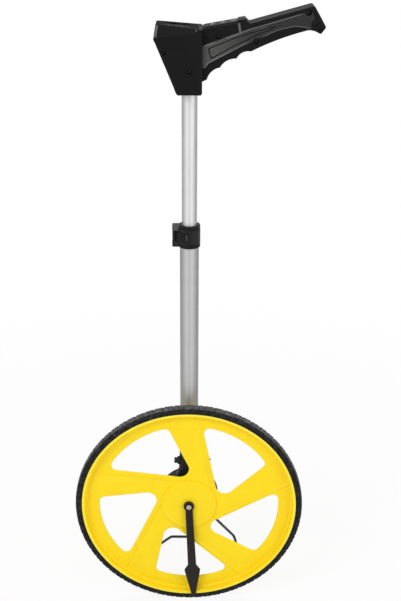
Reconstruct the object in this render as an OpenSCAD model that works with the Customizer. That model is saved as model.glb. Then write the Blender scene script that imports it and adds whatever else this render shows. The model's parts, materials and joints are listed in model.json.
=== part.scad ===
// Digital measuring wheel: a wheel one metre round, a telescopic pole and a handle with a display.
// Millimetres, +Z up. The origin is where the tyre meets the ground, and the axle runs along Y.
// The pointer is on the -Y side of the wheel, the pole is on the +Y side, and the grip reaches to +X.

/* [Wheel] */
// Outside diameter of the tyre
wheel_d = 318.31; // [300:0.01:340]
// Thickness of the tyre in the wheel's plane
tyre_h = 9; // [7:0.5:12]
// Width of the tyre and of the rim
tyre_w = 13; // [12:0.5:16]
// Rounding of the tyre's shoulders
shoulder_r = 2.5; // [1.5:0.25:3.5]
// Number of tread blocks
tread_blocks = 72; // [40:2:80]
// Depth of a tread groove
tread_depth = 1.2; // [0.6:0.1:2]
// Width of a tread groove
tread_gap = 2.5; // [2:0.25:4]
// Wall of the rim under the tyre
rim_wall = 4.5; // [3.5:0.25:6]
// Depth of the groove that keys the tyre to the rim
key_groove = 1.5; // [1:0.25:2.5]
// Thickness of the spoke disc
disc_t = 3.5; // [3:0.25:4]
// Distance from the rim's front edge back to the spoke disc
disc_setback = 9; // [8.75:0.25:9.5]
// Solid band between the windows and the rim's outer edge
rim_band = 24; // [20:0.5:32]
// Width of the raised rib beside each window
rib_w = 4; // [2:0.5:6]
// Height of that rib
rib_h = 1.6; // [0.8:0.2:2.4]

/* [Hub] */
// Radius of the hub cover
cover_r = 39; // [34:0.5:42]
// Distance from the rim's front edge back to the hub cover's face
cover_setback = 6.5; // [4:0.25:6.75]
// Wall of the hub cover
cover_wall = 2; // [1.5:0.25:2]
// Radius of the wheel's hub barrel
barrel_r = 16; // [13:0.5:20]
// Length of the barrel behind the spoke disc
barrel_tail = 4.7; // [3:0.1:8]
// Radius of a counting magnet
magnet_r = 4; // [3:0.25:5]
// Distance of the magnets from the axle
magnet_pitch_r = 28; // [24:0.5:32]

/* [Axle] */
// Diameter of the axle
axle_d = 8; // [7:0.25:10]
// Diameter of the axle's front spigot, which carries the pointer
spigot_d = 6; // [5:0.25:6.5]
// Wall of the wheel's bushes
bush_wall = 3; // [2:0.25:4]
// Length of each bush
bush_len = 4; // [3:0.25:4.25]
// Thickness of the axle washers
washer_t = 1; // [0.8:0.1:1.6]
// Height of the axle nut
nut_h = 5; // [4:0.25:6]

/* [Pointer] */
// Height of the pointer's tip over the ground when it hangs straight
pointer_ground_gap = 6; // [4:0.5:12]
// Thickness of the pointer's blade
pointer_t = 2.6; // [1.5:0.1:4]
// Diameter of the pointer's boss
pointer_boss_d = 14.8; // [12:0.2:18]
// Length of the pointer's boss along the axle
pointer_boss_len = 3.2; // [2.8:0.1:5]
// Gap between the pointer and the rim's front edge
pointer_rim_gap = 1.1; // [0.6:0.1:2]
// Width of the blade at the boss
blade_w_top = 10; // [7:0.5:12]
// Width of the blade above the arrow head
blade_w_low = 12; // [8:0.5:16]
// Width of the arrow head
arrow_w = 23; // [17:0.5:30]
// Length of the arrow head below its shoulders
arrow_len = 47; // [30:1:60]
// Lean of the pointer at rest, in degrees
pointer_lean = 2.75; // [0:0.25:6]

/* [Hub housing] */
// Radius of the housing behind the wheel
housing_r = 41; // [38:0.5:43]
// Depth of the housing
housing_depth = 24; // [22:0.5:30]
// Wall of the housing
housing_wall = 2.6; // [2:0.2:3.4]
// Thickness of the rear cover
plate_t = 3; // [2.5:0.25:4]
// Wall of the socket that takes the pole
socket_wall = 2; // [1.5:0.25:3]
// Height of the socket's mouth over the axle
socket_h = 85; // [75:1:110]
// Height of the pole's foot over the axle
tube_seat = 46; // [45:0.5:50]
// Diameter of the cross bolt
bolt_d = 6; // [5:0.5:7]

/* [Wire stand] */
// Diameter of the wire
wire_d = 4; // [3:0.25:4.5]
// Distance of the stand's hinge below the axle
stand_drop = 26.5; // [24:0.5:30]
// Distance of the hinge behind the housing
stand_reach = 8.4; // [8:0.2:12]
// Distance of the feet behind the wheel
stand_back = 138; // [115:1:160]
// Place of the right foot from the middle
right_foot_x = 72; // [55:1:90]
// Length of the right foot along the ground
right_foot_run = 36; // [24:1:50]
// Place of the left leg's foot from the middle
left_leg_x = 2; // [-4:0.5:8]
// Place of the left foot's turn from the middle
left_turn_x = 30; // [24:1:40]
// Place of the left foot's end from the middle
left_foot_x = 58; // [48:1:75]
// Length of the left foot's end along Y
left_foot_run = 32; // [20:1:45]
// Radius of the bends at the wire's middle
bend_r = 6; // [5:0.5:8]

/* [Pole] */
// Diameter of the lower tube
lower_tube_d = 24.5; // [24:0.25:27]
// Wall of the lower tube
lower_wall = 1.5; // [1:0.1:1.8]
// Length of the lower tube
lower_tube_len = 354; // [330:1:400]
// Diameter of the upper tube
upper_tube_d = 19.25; // [18:0.25:20]
// Wall of the upper tube
upper_wall = 1.5; // [1:0.1:2.5]
// Length of the upper tube
upper_tube_len = 395; // [360:1:410]
// Length of the upper tube between the lower tube and the head
pole_out = 178; // [165:1:240]
// Length of the upper tube inside the head
tube_insert = 44; // [36:1:45]
// Length of the liner inside the lower tube
liner_len = 42; // [25:1:50]

/* [Clamp] */
// Height of the clamp collar
collar_h = 29.5; // [28:0.5:40]
// Wall of the clamp collar
collar_wall = 1.8; // [1.4:0.1:2.4]
// Height of each lug that holds the lever's pin
lug_h = 8; // [6:0.5:10]
// Diameter of the lever's pin
lever_pin_d = 3; // [2.5:0.25:3.5]
// Thickness of the lever
lever_t = 2.6; // [1.8:0.1:3.4]
// Angle that the lever wraps round the collar
lever_sweep = 92; // [70:1:110]

/* [Handle head] */
// Width of the head
head_w = 52; // [48:0.5:60]
// Distance from the pole to the head's back wall
head_back = 15.2; // [14.6:0.1:18]
// Distance from the pole to the head's nose
head_front = 42; // [38:0.5:48]
// Height of the nose over the head's foot
nose_h = 64.6; // [60:0.2:65]
// Distance from the pole to the front of the head's foot
foot_front = 16.2; // [14:0.1:18]
// Height of the head at its front
head_h = 80.6; // [80:0.2:94]
// Fall of the head's top towards the grip, in degrees
top_fall = 5.3; // [3:0.1:7]
// Wall of the handle's shells
shell_wall = 2.4; // [2:0.1:3]
// Height of the display bezel's parting line at the nose
bezel_low = 66; // [65.5:0.5:69]
// Inward slope of the bezel's sides, in degrees
bezel_draft = 30; // [15:1:32]

/* [Grip] */
// Width of the neck and the grip
grip_w = 32; // [28:0.5:38]
// Length of the neck along X
neck_len = 52; // [44:0.1:56]
// Rise of the neck's top, in degrees
neck_rise = 10.1; // [8:0.1:12]
// Step down from the neck to the grip
neck_step = 3.2; // [2.5:0.1:5]
// Length of the grip's top
grip_len = 77; // [72:0.2:95]
// Rise of the grip's top, in degrees
grip_rise = 15.5; // [13:0.1:18]
// Height of the lowest finger crest over the head's foot
finger_h = 16.4; // [14:0.1:20]
// Depth of the finger scallops
scallop = 3.2; // [2:0.1:4]
// Diameter of the strap hole
strap_hole_d = 4.4; // [3:0.2:5.2]
// Height of the grip insert over the grip's side
insert_proud = 1; // [0.5:0.1:1.5]
// Depth of the grip insert's seat
insert_seat = 1; // [0.6:0.1:1.4]
// Depth of the wedge-shaped recess in the insert
insert_recess = 0.9; // [0.4:0.1:1.4]

/* [Display and keys] */
// Length of the display window along the head
window_l = 30; // [26:0.5:32]
// Width of the display window across the head
window_w = 26; // [22:0.5:28]
// Thickness of the display window
window_t = 1.5; // [1:0.1:2]
// Thickness of the bezel's top
bezel_top = 4; // [3.6:0.1:4.1]
// Length of a key along the neck
key_l = 9; // [7:0.25:10]
// Width of a key across the neck
key_w = 14; // [10:0.5:17]
// Distance between the keys
key_pitch = 12.5; // [12:0.1:13.5]
// Height of a key over the neck
key_proud = 1; // [0.9:0.1:2.5]
// Diameter of a battery cell
cell_d = 10.5; // [9.5:0.1:10.8]
// Length of a battery cell
cell_len = 44.5; // [40:0.1:44.8]

/* [Clearances] */
// Radial clearance of the running fits
running_gap = 0.05; // [0.02:0.01:0.08]
// Gap between faces that move past each other
side_gap = 0.3; // [0.3:0.02:0.5]
// Gap round fixed pieces that drop into a seat
seat_gap = 0.1; // [0.05:0.01:0.2]

/* [Hidden] */
$fn = 96;

// Overlap that keeps a cut from ending on a face
eps = 0.5;

// Wheel
spokes = 5;
axle_z = wheel_d / 2;
rim_r = axle_z - tyre_h;
rim_front = -tyre_w / 2;
rim_back = tyre_w / 2;
rim_bore_r = rim_r - rim_wall;
groove_w = tyre_w * 0.6;
// Steps of the tyre's round shoulders, in degrees
SHOULDER = [22.5, 45, 67.5];
disc_front = rim_front + disc_setback;
disc_back = disc_front + disc_t;
window_r = rim_r - rim_band;
// A window is a wedge: its point lies beside the hub cover, and its two edges leave the point at these angles
window_point = (cover_r + 3.4) * [cos(78.1), sin(78.1)];
window_edge_a = 114.9;
window_edge_b = 173.1;
window_point_r = 13;
window_corner_r = 8;
rib_offset = 3;

// Hub and axle, from the front to the back
cover_face = rim_front + cover_setback;
barrel_front = cover_face + cover_wall;
barrel_back = disc_back + barrel_tail;
axle_r = axle_d / 2;
spigot_r = spigot_d / 2;
bush_r = axle_r + running_gap + bush_wall;
axle_shoulder = cover_face - side_gap - washer_t;
boss_back = axle_shoulder - side_gap;
boss_front = boss_back - pointer_boss_len;
spigot_end = boss_front - side_gap;
housing_front = barrel_back + side_gap + washer_t;
socket_r = lower_tube_d / 2 + socket_wall;
socket_setback = 1.3;
socket_foot = housing_r - 6;
housing_back = housing_front + housing_depth;
plate_front = housing_back - plate_t;
pole_y = housing_front + socket_r + socket_setback;
axle_end = housing_back + nut_h + 1.4;
washer_rim = 3;
screw_pin_r = 1.5;
screw_pin_depth = 8;
screw_cap_r = 3.7;
screw_cap_h = 1.4;
magnet_h = 3;
magnet_count = 4;

// Pointer
pointer_len = axle_z - pointer_ground_gap;
arrow_shoulder = pointer_len - arrow_len;
arrow_neck = arrow_shoulder - 8;
arrow_tip_w = 4.5;
// The blade tips forward from the boss, so that its back clears the rim
blade_tip = atan((boss_front + pointer_t - rim_front + pointer_rim_gap) / rim_bore_r);

// Hub housing
boss_r = axle_r + 5;
cover_screw_r = 1.4;
cover_screw_head_r = 2.8;
cover_screw_head_h = 1.6;
cover_screw_len = 10;
cover_screw_pitch_r = housing_r - 8;
gusset_w = 7;
gusset_foot = housing_r - 9;
sensor_l = 24;
sensor_h = 18;
sensor_drop = 13;
chip_l = 7;
chip_t = 2;
bolt_r = bolt_d / 2;
wing_l = 14;
wing_w = 11;
wing_t = 3;
wing_tilt = 25;
bolt_z = axle_z + tube_seat + 11;
tube_foot = axle_z + tube_seat;

// Wire stand
wire_r = wire_d / 2;
stand_y = housing_back + stand_reach;
stand_z = axle_z - stand_drop;
bar_half = 14;
clip_half = 5;
clip_t = 3;
clip_r = wire_r + 3.5;
clip_screw_z = stand_z + clip_r + 6;
// The bends are this much thicker than the straight runs, which reach a little way into them
bend_swell = 0.08;
run_overlap = 0.6;
floor_z = wire_r + bend_swell;
STAND_PATH = [
    [right_foot_x + 2, stand_back - right_foot_run, floor_z],
    [right_foot_x, stand_back, floor_z],
    [bar_half, stand_y, stand_z],
    [-bar_half, stand_y, stand_z],
    [left_leg_x, stand_back, floor_z],
    [-left_turn_x, stand_back, floor_z],
    [-left_foot_x, stand_back - left_foot_run, floor_z]];

// Pole
lower_r = lower_tube_d / 2;
lower_bore_r = lower_r - lower_wall;
upper_r = upper_tube_d / 2;
upper_bore_r = upper_r - upper_wall;
lower_top = tube_foot + lower_tube_len;
head_z = lower_top + pole_out;
upper_top = head_z + tube_insert;
upper_foot = upper_top - upper_tube_len;
liner_flange = 4;
collar_lip = 5;
bush_cap = 4;
bush_skirt = 20;

// Clamp
collar_r = lower_r + collar_wall;
collar_slit = 1.5;
collar_top = lower_top + liner_flange + collar_lip;
collar_foot = collar_top - collar_h;
pin_r = lever_pin_d / 2;
lever_hub_r = pin_r + 2;
lug_r = lever_hub_r + 0.1;
pin_x = -(lower_r + side_gap + 0.1 + lever_hub_r);
lever_foot = collar_foot + lug_h + side_gap;
lever_top = collar_top - lug_h - side_gap;
lever_r = collar_r + side_gap;
lever_inset = 0.4;
// The finger lip at the lever's end: its height, and the angle that it takes up, in degrees
lip_h = 2;
lip_angle = 7;

// Head outline, measured from the pole's axis and the head's foot
foot_rise = 3;
nose_top_x = -(head_front - 2.5);
nose_run = (head_front - foot_front) / (nose_h - foot_rise);
nose_slant = sqrt(1 + nose_run * nose_run);
bezel_back = head_back - 5;
function top_at(x) = head_h - (x - nose_top_x) * tan(top_fall);
function nose_x(z) = -foot_front - (z - foot_rise) * nose_run;
bezel_high = top_at(bezel_back) - bezel_top - 0.1;
bezel_low_x = nose_top_x - 2.5 * (head_h - bezel_low) / (head_h - nose_h);
parting_angle = atan((bezel_high - bezel_low) / (bezel_back - bezel_low_x));
HEAD = [[-foot_front + 2, 0], [head_back - 1.5, 0], [head_back, 2.3], [head_back, top_at(head_back)],
    [bezel_back, top_at(bezel_back)], [bezel_back, bezel_high], [bezel_low_x, bezel_low],
    [-head_front, nose_h], [-foot_front, foot_rise]];
HEAD_CAVITY = [[nose_x(shell_wall) + shell_wall * nose_slant, shell_wall],
    [head_back - shell_wall, shell_wall],
    [head_back - shell_wall, top_at(head_back) - shell_wall],
    [bezel_back - shell_wall, top_at(head_back) - shell_wall],
    [bezel_back - shell_wall, head_h + eps],
    [nose_top_x + shell_wall, head_h + eps],
    [-head_front + shell_wall * nose_slant, nose_h]];
BEZEL = [[bezel_low_x, bezel_low], [bezel_back, bezel_high], [bezel_back, top_at(bezel_back)],
    [nose_top_x, head_h]];

// Grip outline: finger crests from the head outwards, then the underside, the end hook and the top
neck_z = top_at(head_back);
neck_end = [head_back + neck_len, neck_z + neck_len * tan(neck_rise)];
grip_start = neck_end + neck_step * [1, -1];
grip_end = grip_start + grip_len * [cos(grip_rise), sin(grip_rise)];
// Each finger crest's distance from the head's back wall, and its height over the lowest crest
crest_a = 5.6;
crest_b = 21;
crest_c = 40.2;
crest_d = 57.1;
crest_b_rise = 14.2;
crest_c_rise = 24.7;
crest_d_rise = 33.1;
CRESTS = [[head_back + crest_a, finger_h], [head_back + crest_b, finger_h + crest_b_rise],
    [head_back + crest_c, finger_h + crest_c_rise], [head_back + crest_d, finger_h + crest_d_rise]];
heel = grip_end + [14.8, -24.6];
toe = heel + [-6.1, -7.9];
hook_in = toe + [-7.2, 3.6];
underside_end = hook_in + [-6.5, 1.2];
scallop_steps = 8;
underside_sag = 2;
function side_arc(p, q, sag, n) = let(
    chord = norm(q - p),
    dir = (q - p) / chord,
    left = [-dir[1], dir[0]],
    r = (chord * chord / 4 + sag * sag) / (2 * sag),
    mid = (p + q) / 2 + left * (sag - r),
    half = asin(chord / 2 / r))
    [for (i = [1:n - 1]) let(a = half * (1 - 2 * i / n)) mid + r * (left * cos(a) - dir * sin(a))];
GRIP = concat([[head_back - 2, finger_h - 3.6]],
    [CRESTS[0]], side_arc(CRESTS[0], CRESTS[1], scallop, scallop_steps),
    [CRESTS[1]], side_arc(CRESTS[1], CRESTS[2], scallop, scallop_steps),
    [CRESTS[2]], side_arc(CRESTS[2], CRESTS[3], scallop, scallop_steps),
    [CRESTS[3]], side_arc(CRESTS[3], underside_end, underside_sag, scallop_steps),
    [underside_end, hook_in, toe, heel, grip_end, grip_start, neck_end, [head_back, neck_z],
    [head_back - 2, neck_z]]);
cavity_lift = scallop + shell_wall + 2.4;
GRIP_CAVITY = [[head_back - 2 * shell_wall, finger_h + 14], CRESTS[1] + [0, cavity_lift],
    CRESTS[2] + [0, cavity_lift], CRESTS[3] + [0, cavity_lift],
    underside_end + [-6, shell_wall + 2], grip_end + [-2, -shell_wall - 2],
    grip_start + [0, -shell_wall * 1.1], neck_end - shell_wall * [1, tan(neck_rise) + 1 / cos(neck_rise)],
    [head_back, neck_z - shell_wall / cos(neck_rise)],
    [head_back - 2 * shell_wall, neck_z - shell_wall / cos(neck_rise)]];

// Grip insert, with its corners set from the finger crests and the grip's ends
insert_drop = 19.4;
insert_start = head_back + 0.7;
INSERT = [[insert_start, finger_h + 12.2], CRESTS[0] + [1.1, 19.9], CRESTS[1] + [-1.4, 11.7],
    CRESTS[2] + [8.4, 16.4], CRESTS[3] + [20.3, 20.3],
    grip_end + [-39.4, -27.1], grip_end + [-23.2, -23.5], grip_end + [-11.5, -24.3], grip_end + [-3.3, -25.9],
    grip_end + [0.3, -17.1], grip_end + [-2, -4.9], grip_start + [-1.3, -6],
    [insert_start, neck_z - insert_drop]];
INSERT_WEDGE = [CRESTS[0] + [2.2, 25.3], CRESTS[2] + [-5.6, 16.1], grip_start + [16, -5.9],
    grip_start + [-7, -13.3], CRESTS[0] + [0.3, 36], CRESTS[0] + [-0.1, 26.5]];

// Screws through the handle, from the near side
post_r = 4;
screw_r = 1.3;
screw_head_r = 2.9;
screw_head_h = 2.2;
screw_recess = 4;
screw_bite = 10;
tube_screw_drop = 16.5;
TUBE_SCREW = [0, tube_insert - tube_screw_drop];
nose_screw_h = 48.7;
nose_screw_in = 4.6;
HEAD_SCREWS = [TUBE_SCREW, [nose_x(nose_screw_h) + nose_screw_in, nose_screw_h]];
GRIP_SCREWS = [[head_back + 18.6, neck_z - 8.6], CRESTS[3] + [6.1, 12], grip_end + [-6.5, -7.5]];
STRAP = grip_end + [2.1, -20.9];
strap_boss_r = strap_hole_d / 2 + 2.4;

// Display stack, measured down from the bezel's top
display_len = (bezel_back - nose_top_x) / cos(top_fall);
window_start = (display_len - window_l) / 2;
window_lip = 2.5;
window_sink = 1;
window_foot = window_sink + window_t;
lcd_gap = 0.3;
lcd_t = 2.7;
board_t = 1.6;
lcd_top = bezel_top + lcd_gap;
board_top = lcd_top + lcd_t;
bezel_rise = head_h - bezel_low - bezel_top;
bezel_inner = head_w / 2 - bezel_rise * tan(bezel_draft) - shell_wall / cos(bezel_draft);
board_l = window_l + 8;
board_w = 2 * bezel_inner - 1;
lcd_inset = 1;
lcd_w = window_w - 2 * lcd_inset;

// Keys, measured up from the neck's top
key_first = 12;
key_flange = 1;
key_flange_t = 0.9;
key_foot = -shell_wall - side_gap - key_flange_t;
key_board_top = key_foot - 1.4;
dome_r = 2.5;
dome_h = 0.6;

// Battery bay: two cells side by side across the head, between the pole's top and the main board
cell_r = cell_d / 2;
cell_pitch = cell_d + 1.5;
bay_mid = [-6, 56];
tray_wall = 1.2;
tray_l = cell_pitch + cell_d + 2 * tray_wall;
tray_h = cell_d + 2 * tray_wall;
head_inner = head_w / 2 - shell_wall;
door_plate_t = 0.7;
cell_end = head_inner - door_plate_t - side_gap;
cell_start = cell_end - cell_len;
door_l = tray_l + 2;
door_h = tray_h + 2;

// Helpers

// A flat outline in X and Z, given its thickness between two places along Y
module slab(y0, y1) {
    translate([0, y1, 0]) rotate([90, 0, 0]) linear_extrude(y1 - y0) children();
}

// A round rod along Y
module rod_y(r, y0, y1) {
    translate([0, y0, 0]) rotate([-90, 0, 0]) cylinder(r = r, h = y1 - y0);
}

// A round rod along X
module rod_x(r, x0, x1) {
    translate([x0, 0, 0]) rotate([0, 90, 0]) cylinder(r = r, h = x1 - x0);
}

// A ring along Y
module ring_y(r, bore, y0, y1) {
    difference() {
        rod_y(r, y0, y1);
        rod_y(bore, y0 - eps, y1 + eps);
    }
}

// An upright ring
module ring_z(r, bore, z0, z1) {
    translate([0, 0, z0]) difference() {
        cylinder(r = r, h = z1 - z0);
        translate([0, 0, -eps]) cylinder(r = bore, h = z1 - z0 + 2 * eps);
    }
}

// A profile of radius and place along Y, turned round the axle
module turned(points) {
    rotate([-90, 0, 0]) rotate_extrude($fn = 180) polygon(points);
}

module at_axle() {
    translate([0, 0, axle_z]) children();
}

module at_pole() {
    translate([0, pole_y, 0]) children();
}

module at_head() {
    translate([0, pole_y, head_z]) children();
}

// The frame of the display: X runs down the head's top, Z points out of it
module at_display() {
    at_head() translate([nose_top_x, 0, head_h]) rotate([0, top_fall, 0]) children();
}

// The frame of the keys: X runs up the neck's top, Z points out of it
module at_neck() {
    at_head() translate([head_back, 0, neck_z]) rotate([0, -neck_rise, 0]) children();
}

// A rounded corner of an outline, as points on its arc
function corner(a, b, c, r, n = 5) = let(
    u = (a - b) / norm(a - b),
    v = (c - b) / norm(c - b),
    half = acos(u * v) / 2,
    mid = b + (u + v) / norm(u + v) * r / sin(half),
    from = b + u * r / tan(half) - mid,
    to = b + v * r / tan(half) - mid)
    [for (i = [0:n]) let(p = from * (1 - i / n) + to * i / n) mid + p * r / norm(p)];

// Where a ray from a point meets a circle round the origin
function reach(p, angle, r) = let(
    d = [cos(angle), sin(angle)],
    b = p * d)
    p + d * (sqrt(b * b - p * p + r * r) - b);

// Wheel pieces

// One window of the wheel, as a rounded wedge
module window() {
    a = reach(window_point, window_edge_a, window_r);
    b = reach(window_point, window_edge_b, window_r);
    angle_a = atan2(a[1], a[0]);
    angle_b = atan2(b[1], b[0]);
    arc_steps = 6;
    arc = [for (i = [1:arc_steps - 1])
        let(t = angle_a + (angle_b - angle_a) * i / arc_steps) window_r * [cos(t), sin(t)]];
    polygon(concat(
        corner(b, window_point, a, window_point_r, 8),
        corner(window_point, a, arc[0], window_corner_r),
        arc,
        corner(arc[arc_steps - 2], b, window_point, window_corner_r)));
}

// The raised rib that runs beside a window from the hub to the rim
module spoke_rib() {
    intersection() {
        translate(window_point) rotate(window_edge_b) translate([0, rib_offset])
            square([2 * rim_r, rib_w]);
        difference() {
            circle(r = rim_bore_r + eps);
            circle(r = cover_r + 1);
        }
    }
}

module wheel_rim() color("gold") at_axle() difference() {
    union() {
        turned([[rim_bore_r, rim_front], [rim_r, rim_front], [rim_r, -groove_w / 2],
            [rim_r - key_groove, -groove_w / 2], [rim_r - key_groove, groove_w / 2], [rim_r, groove_w / 2],
            [rim_r, rim_back], [rim_bore_r, rim_back]]);
        slab(disc_front, disc_back) difference() {
            circle(r = rim_bore_r + eps, $fn = 180);
            for (i = [0:spokes - 1]) rotate(i * 360 / spokes) window();
        }
        slab(disc_front - rib_h, disc_front + eps)
            for (i = [0:spokes - 1]) rotate(i * 360 / spokes) spoke_rib();
        rod_y(barrel_r, barrel_front, barrel_back);
    }
    rod_y(bush_r, barrel_front - eps, barrel_back + eps);
    for (i = [0:magnet_count - 1]) rotate([0, 45 + i * 360 / magnet_count, 0])
        translate([magnet_pitch_r, 0, 0]) rod_y(magnet_r, disc_back - magnet_h / 2, disc_back + eps);
}

module tyre() color("dimgray") at_axle() difference() {
    turned(concat(
        [[rim_r, rim_front], [axle_z - shoulder_r, rim_front]],
        [for (a = SHOULDER) [axle_z - shoulder_r * (1 - sin(a)), rim_front + shoulder_r * (1 - cos(a))]],
        [[axle_z, rim_front + shoulder_r], [axle_z, rim_back - shoulder_r]],
        [for (a = SHOULDER) [axle_z - shoulder_r * (1 - cos(a)), rim_back - shoulder_r * (1 - sin(a))]],
        [[axle_z - shoulder_r, rim_back], [rim_r, rim_back], [rim_r, groove_w / 2],
        [rim_r - key_groove, groove_w / 2], [rim_r - key_groove, -groove_w / 2], [rim_r, -groove_w / 2]]));
    for (i = [0:tread_blocks - 1]) rotate([0, 90 + (i + 0.5) * 360 / tread_blocks, 0])
        translate([axle_z - tread_depth, rim_front - eps, -tread_gap / 2])
            cube([tread_depth + eps, tyre_w + 2 * eps, tread_gap]);
}

module hub_cover() color("khaki") at_axle() turned([[axle_r + 1, cover_face], [cover_r - 1, cover_face],
    [cover_r, cover_face + 1], [cover_r, disc_front], [cover_r - cover_wall, disc_front],
    [cover_r - cover_wall, barrel_front], [axle_r + 1, barrel_front]]);

module front_bush() color("ivory") at_axle()
    ring_y(bush_r, axle_r + running_gap, barrel_front, barrel_front + bush_len);

module rear_bush() color("ivory") at_axle()
    ring_y(bush_r, axle_r + running_gap, barrel_back - bush_len, barrel_back);

module encoder_magnets() color("silver") at_axle() for (i = [0:magnet_count - 1])
    rotate([0, 45 + i * 360 / magnet_count, 0]) translate([magnet_pitch_r, 0, 0])
        rod_y(magnet_r, disc_back - magnet_h / 2, disc_back + magnet_h / 2);

// Axle and pointer

module axle() color("lightsteelblue") at_axle() difference() {
    union() {
        rod_y(axle_r, axle_shoulder, axle_end);
        rod_y(spigot_r, spigot_end, axle_shoulder + eps);
    }
    rod_y(screw_pin_r, spigot_end - eps, spigot_end + screw_pin_depth);
}

module front_washer() color("silver") at_axle()
    ring_y(axle_r + washer_rim, axle_r, axle_shoulder, axle_shoulder + washer_t);

module rear_washer() color("silver") at_axle()
    ring_y(axle_r + 5, axle_r, housing_front - washer_t, housing_front);

module axle_nut() color("gray") at_axle() difference() {
    translate([0, housing_back, 0]) rotate([-90, 0, 0]) cylinder(r = axle_r + 3, h = nut_h, $fn = 6);
    rod_y(axle_r, housing_back - eps, housing_back + nut_h + eps);
}

module pointer() color("black") at_axle() rotate([0, -pointer_lean, 0]) difference() {
    union() {
        translate([0, boss_front, 0]) rotate([-blade_tip, 0, 0]) slab(0, pointer_t)
            polygon([[-blade_w_top / 2, 0], [-blade_w_low / 2, -arrow_neck],
                [-arrow_w / 2, -arrow_shoulder], [-arrow_tip_w / 2, -pointer_len],
                [arrow_tip_w / 2, -pointer_len], [arrow_w / 2, -arrow_shoulder],
                [blade_w_low / 2, -arrow_neck], [blade_w_top / 2, 0]]);
        rod_y(pointer_boss_d / 2, boss_front, boss_back);
    }
    rod_y(spigot_r + running_gap, boss_front - eps, boss_back + eps);
    rod_y(pointer_boss_d / 2 + eps, boss_front - pointer_t, boss_front);
}

module pointer_screw() color("lightgray") at_axle() {
    rod_y(screw_cap_r, spigot_end - screw_cap_h, spigot_end);
    rod_y(screw_pin_r, spigot_end - eps, spigot_end + screw_pin_depth);
}

// Hub housing

module at_cover_screws() {
    for (i = [0:3]) rotate([0, 45 + i * 90, 0]) translate([cover_screw_pitch_r, 0, 0]) children();
}

module hub_housing() color("darkslategray") difference() {
    union() {
        difference() {
            union() {
                at_axle() rod_y(housing_r, housing_front, plate_front);
                at_pole() translate([0, 0, axle_z + socket_foot])
                    cylinder(r = socket_r, h = socket_h - socket_foot);
                slab(housing_front + housing_wall, plate_front - housing_wall) translate([0, axle_z])
                    polygon([[-socket_r - gusset_w, gusset_foot], [socket_r + gusset_w, gusset_foot],
                        [socket_r, tube_seat - 1], [-socket_r, tube_seat - 1]]);
            }
            at_axle() rod_y(housing_r - housing_wall, housing_front + housing_wall, plate_front + eps);
            at_axle() rod_y(housing_r + seat_gap, plate_front, pole_y + socket_r + eps);
            at_pole() translate([0, 0, tube_foot]) cylinder(r = lower_r, h = socket_h);
            at_pole() translate([0, 0, bolt_z]) rod_x(bolt_r + seat_gap, -2 * socket_r, 2 * socket_r);
        }
        at_axle() rod_y(boss_r, housing_front, plate_front);
        at_axle() at_cover_screws() rod_y(cover_screw_r + 2.4, housing_front + housing_wall / 2, plate_front);
    }
    at_axle() rod_y(axle_r, housing_front - eps, plate_front + eps);
    at_axle() at_cover_screws() rod_y(cover_screw_r, plate_front - cover_screw_len, plate_front + eps);
}

module housing_cover() color("slategray") at_axle() difference() {
    rod_y(housing_r, plate_front, housing_back);
    rod_y(axle_r, plate_front - eps, housing_back + eps);
    at_cover_screws() {
        rod_y(cover_screw_r + seat_gap, plate_front - eps, housing_back);
        rod_y(cover_screw_head_r + seat_gap, housing_back - cover_screw_head_h, housing_back + eps);
    }
    translate([0, 0, clip_screw_z - axle_z]) rod_y(cover_screw_r, plate_front - eps, housing_back + eps);
}

module cover_screws() color("gray") at_axle() at_cover_screws() {
    rod_y(cover_screw_r, plate_front - cover_screw_len, housing_back - cover_screw_head_h / 2);
    rod_y(cover_screw_head_r, housing_back - cover_screw_head_h, housing_back);
}

module sensor_board() color("green") at_axle() {
    translate([-sensor_l / 2, housing_front + housing_wall, magnet_pitch_r - sensor_drop])
        cube([sensor_l, board_t, sensor_h]);
    translate([-chip_l / 2, housing_front + housing_wall + board_t, magnet_pitch_r - chip_l])
        cube([chip_l, chip_t, chip_l]);
}

// The cross bolt's head is on the -X side
module socket_bolt() color("gray") at_pole() translate([0, 0, bolt_z]) {
    rod_x(bolt_r, -socket_r - 5, socket_r + 12);
    rod_x(bolt_r + 3, -socket_r - 2.5, -socket_r);
    translate([-socket_r - 6.7, 0, 0]) rotate([0, 90, 0]) cylinder(r = bolt_r + 1.6, h = 4.2, $fn = 6);
}

module socket_wing_nut() color("black") at_pole() translate([0, 0, bolt_z]) difference() {
    union() {
        rod_x(bolt_r + 3.5, socket_r, socket_r + 8);
        for (side = [-1, 1]) rotate([-side * wing_tilt, 0, 0])
            translate([socket_r + 5, side < 0 ? -wing_l : 0, -wing_t / 2]) cube([wing_w, wing_l, wing_t]);
    }
    rod_x(bolt_r, socket_r - eps, socket_r + 20);
}

// Wire stand

// A straight run of wire
module wire_run(p, q) {
    d = q - p;
    translate(p) rotate([0, acos(d[2] / norm(d)), atan2(d[1], d[0])])
        cylinder(r = wire_r, h = norm(d), $fn = 32);
}

// How far before a corner its bend starts
function bend_start(a, b, c) = bend_r * tan(acos((b - a) * (c - b) / norm(b - a) / norm(c - b)) / 2);

// The bend of the wire at a corner, as part of a torus
module wire_bend(a, b, c) {
    along = (b - a) / norm(b - a);
    leaving = (c - b) / norm(c - b);
    turn = acos(along * leaving);
    out = (leaving - along) / norm(leaving - along);
    mid = b + out * bend_r / cos(turn / 2);
    u = (b - along * bend_start(a, b, c) - mid) / bend_r;
    n = cross(u, along);
    multmatrix([[u[0], along[0], n[0], mid[0]], [u[1], along[1], n[1], mid[1]],
        [u[2], along[2], n[2], mid[2]], [0, 0, 0, 1]])
        rotate_extrude(angle = turn, $fn = 64) translate([bend_r, 0])
            circle(r = wire_r + bend_swell, $fn = 32);
}

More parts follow.
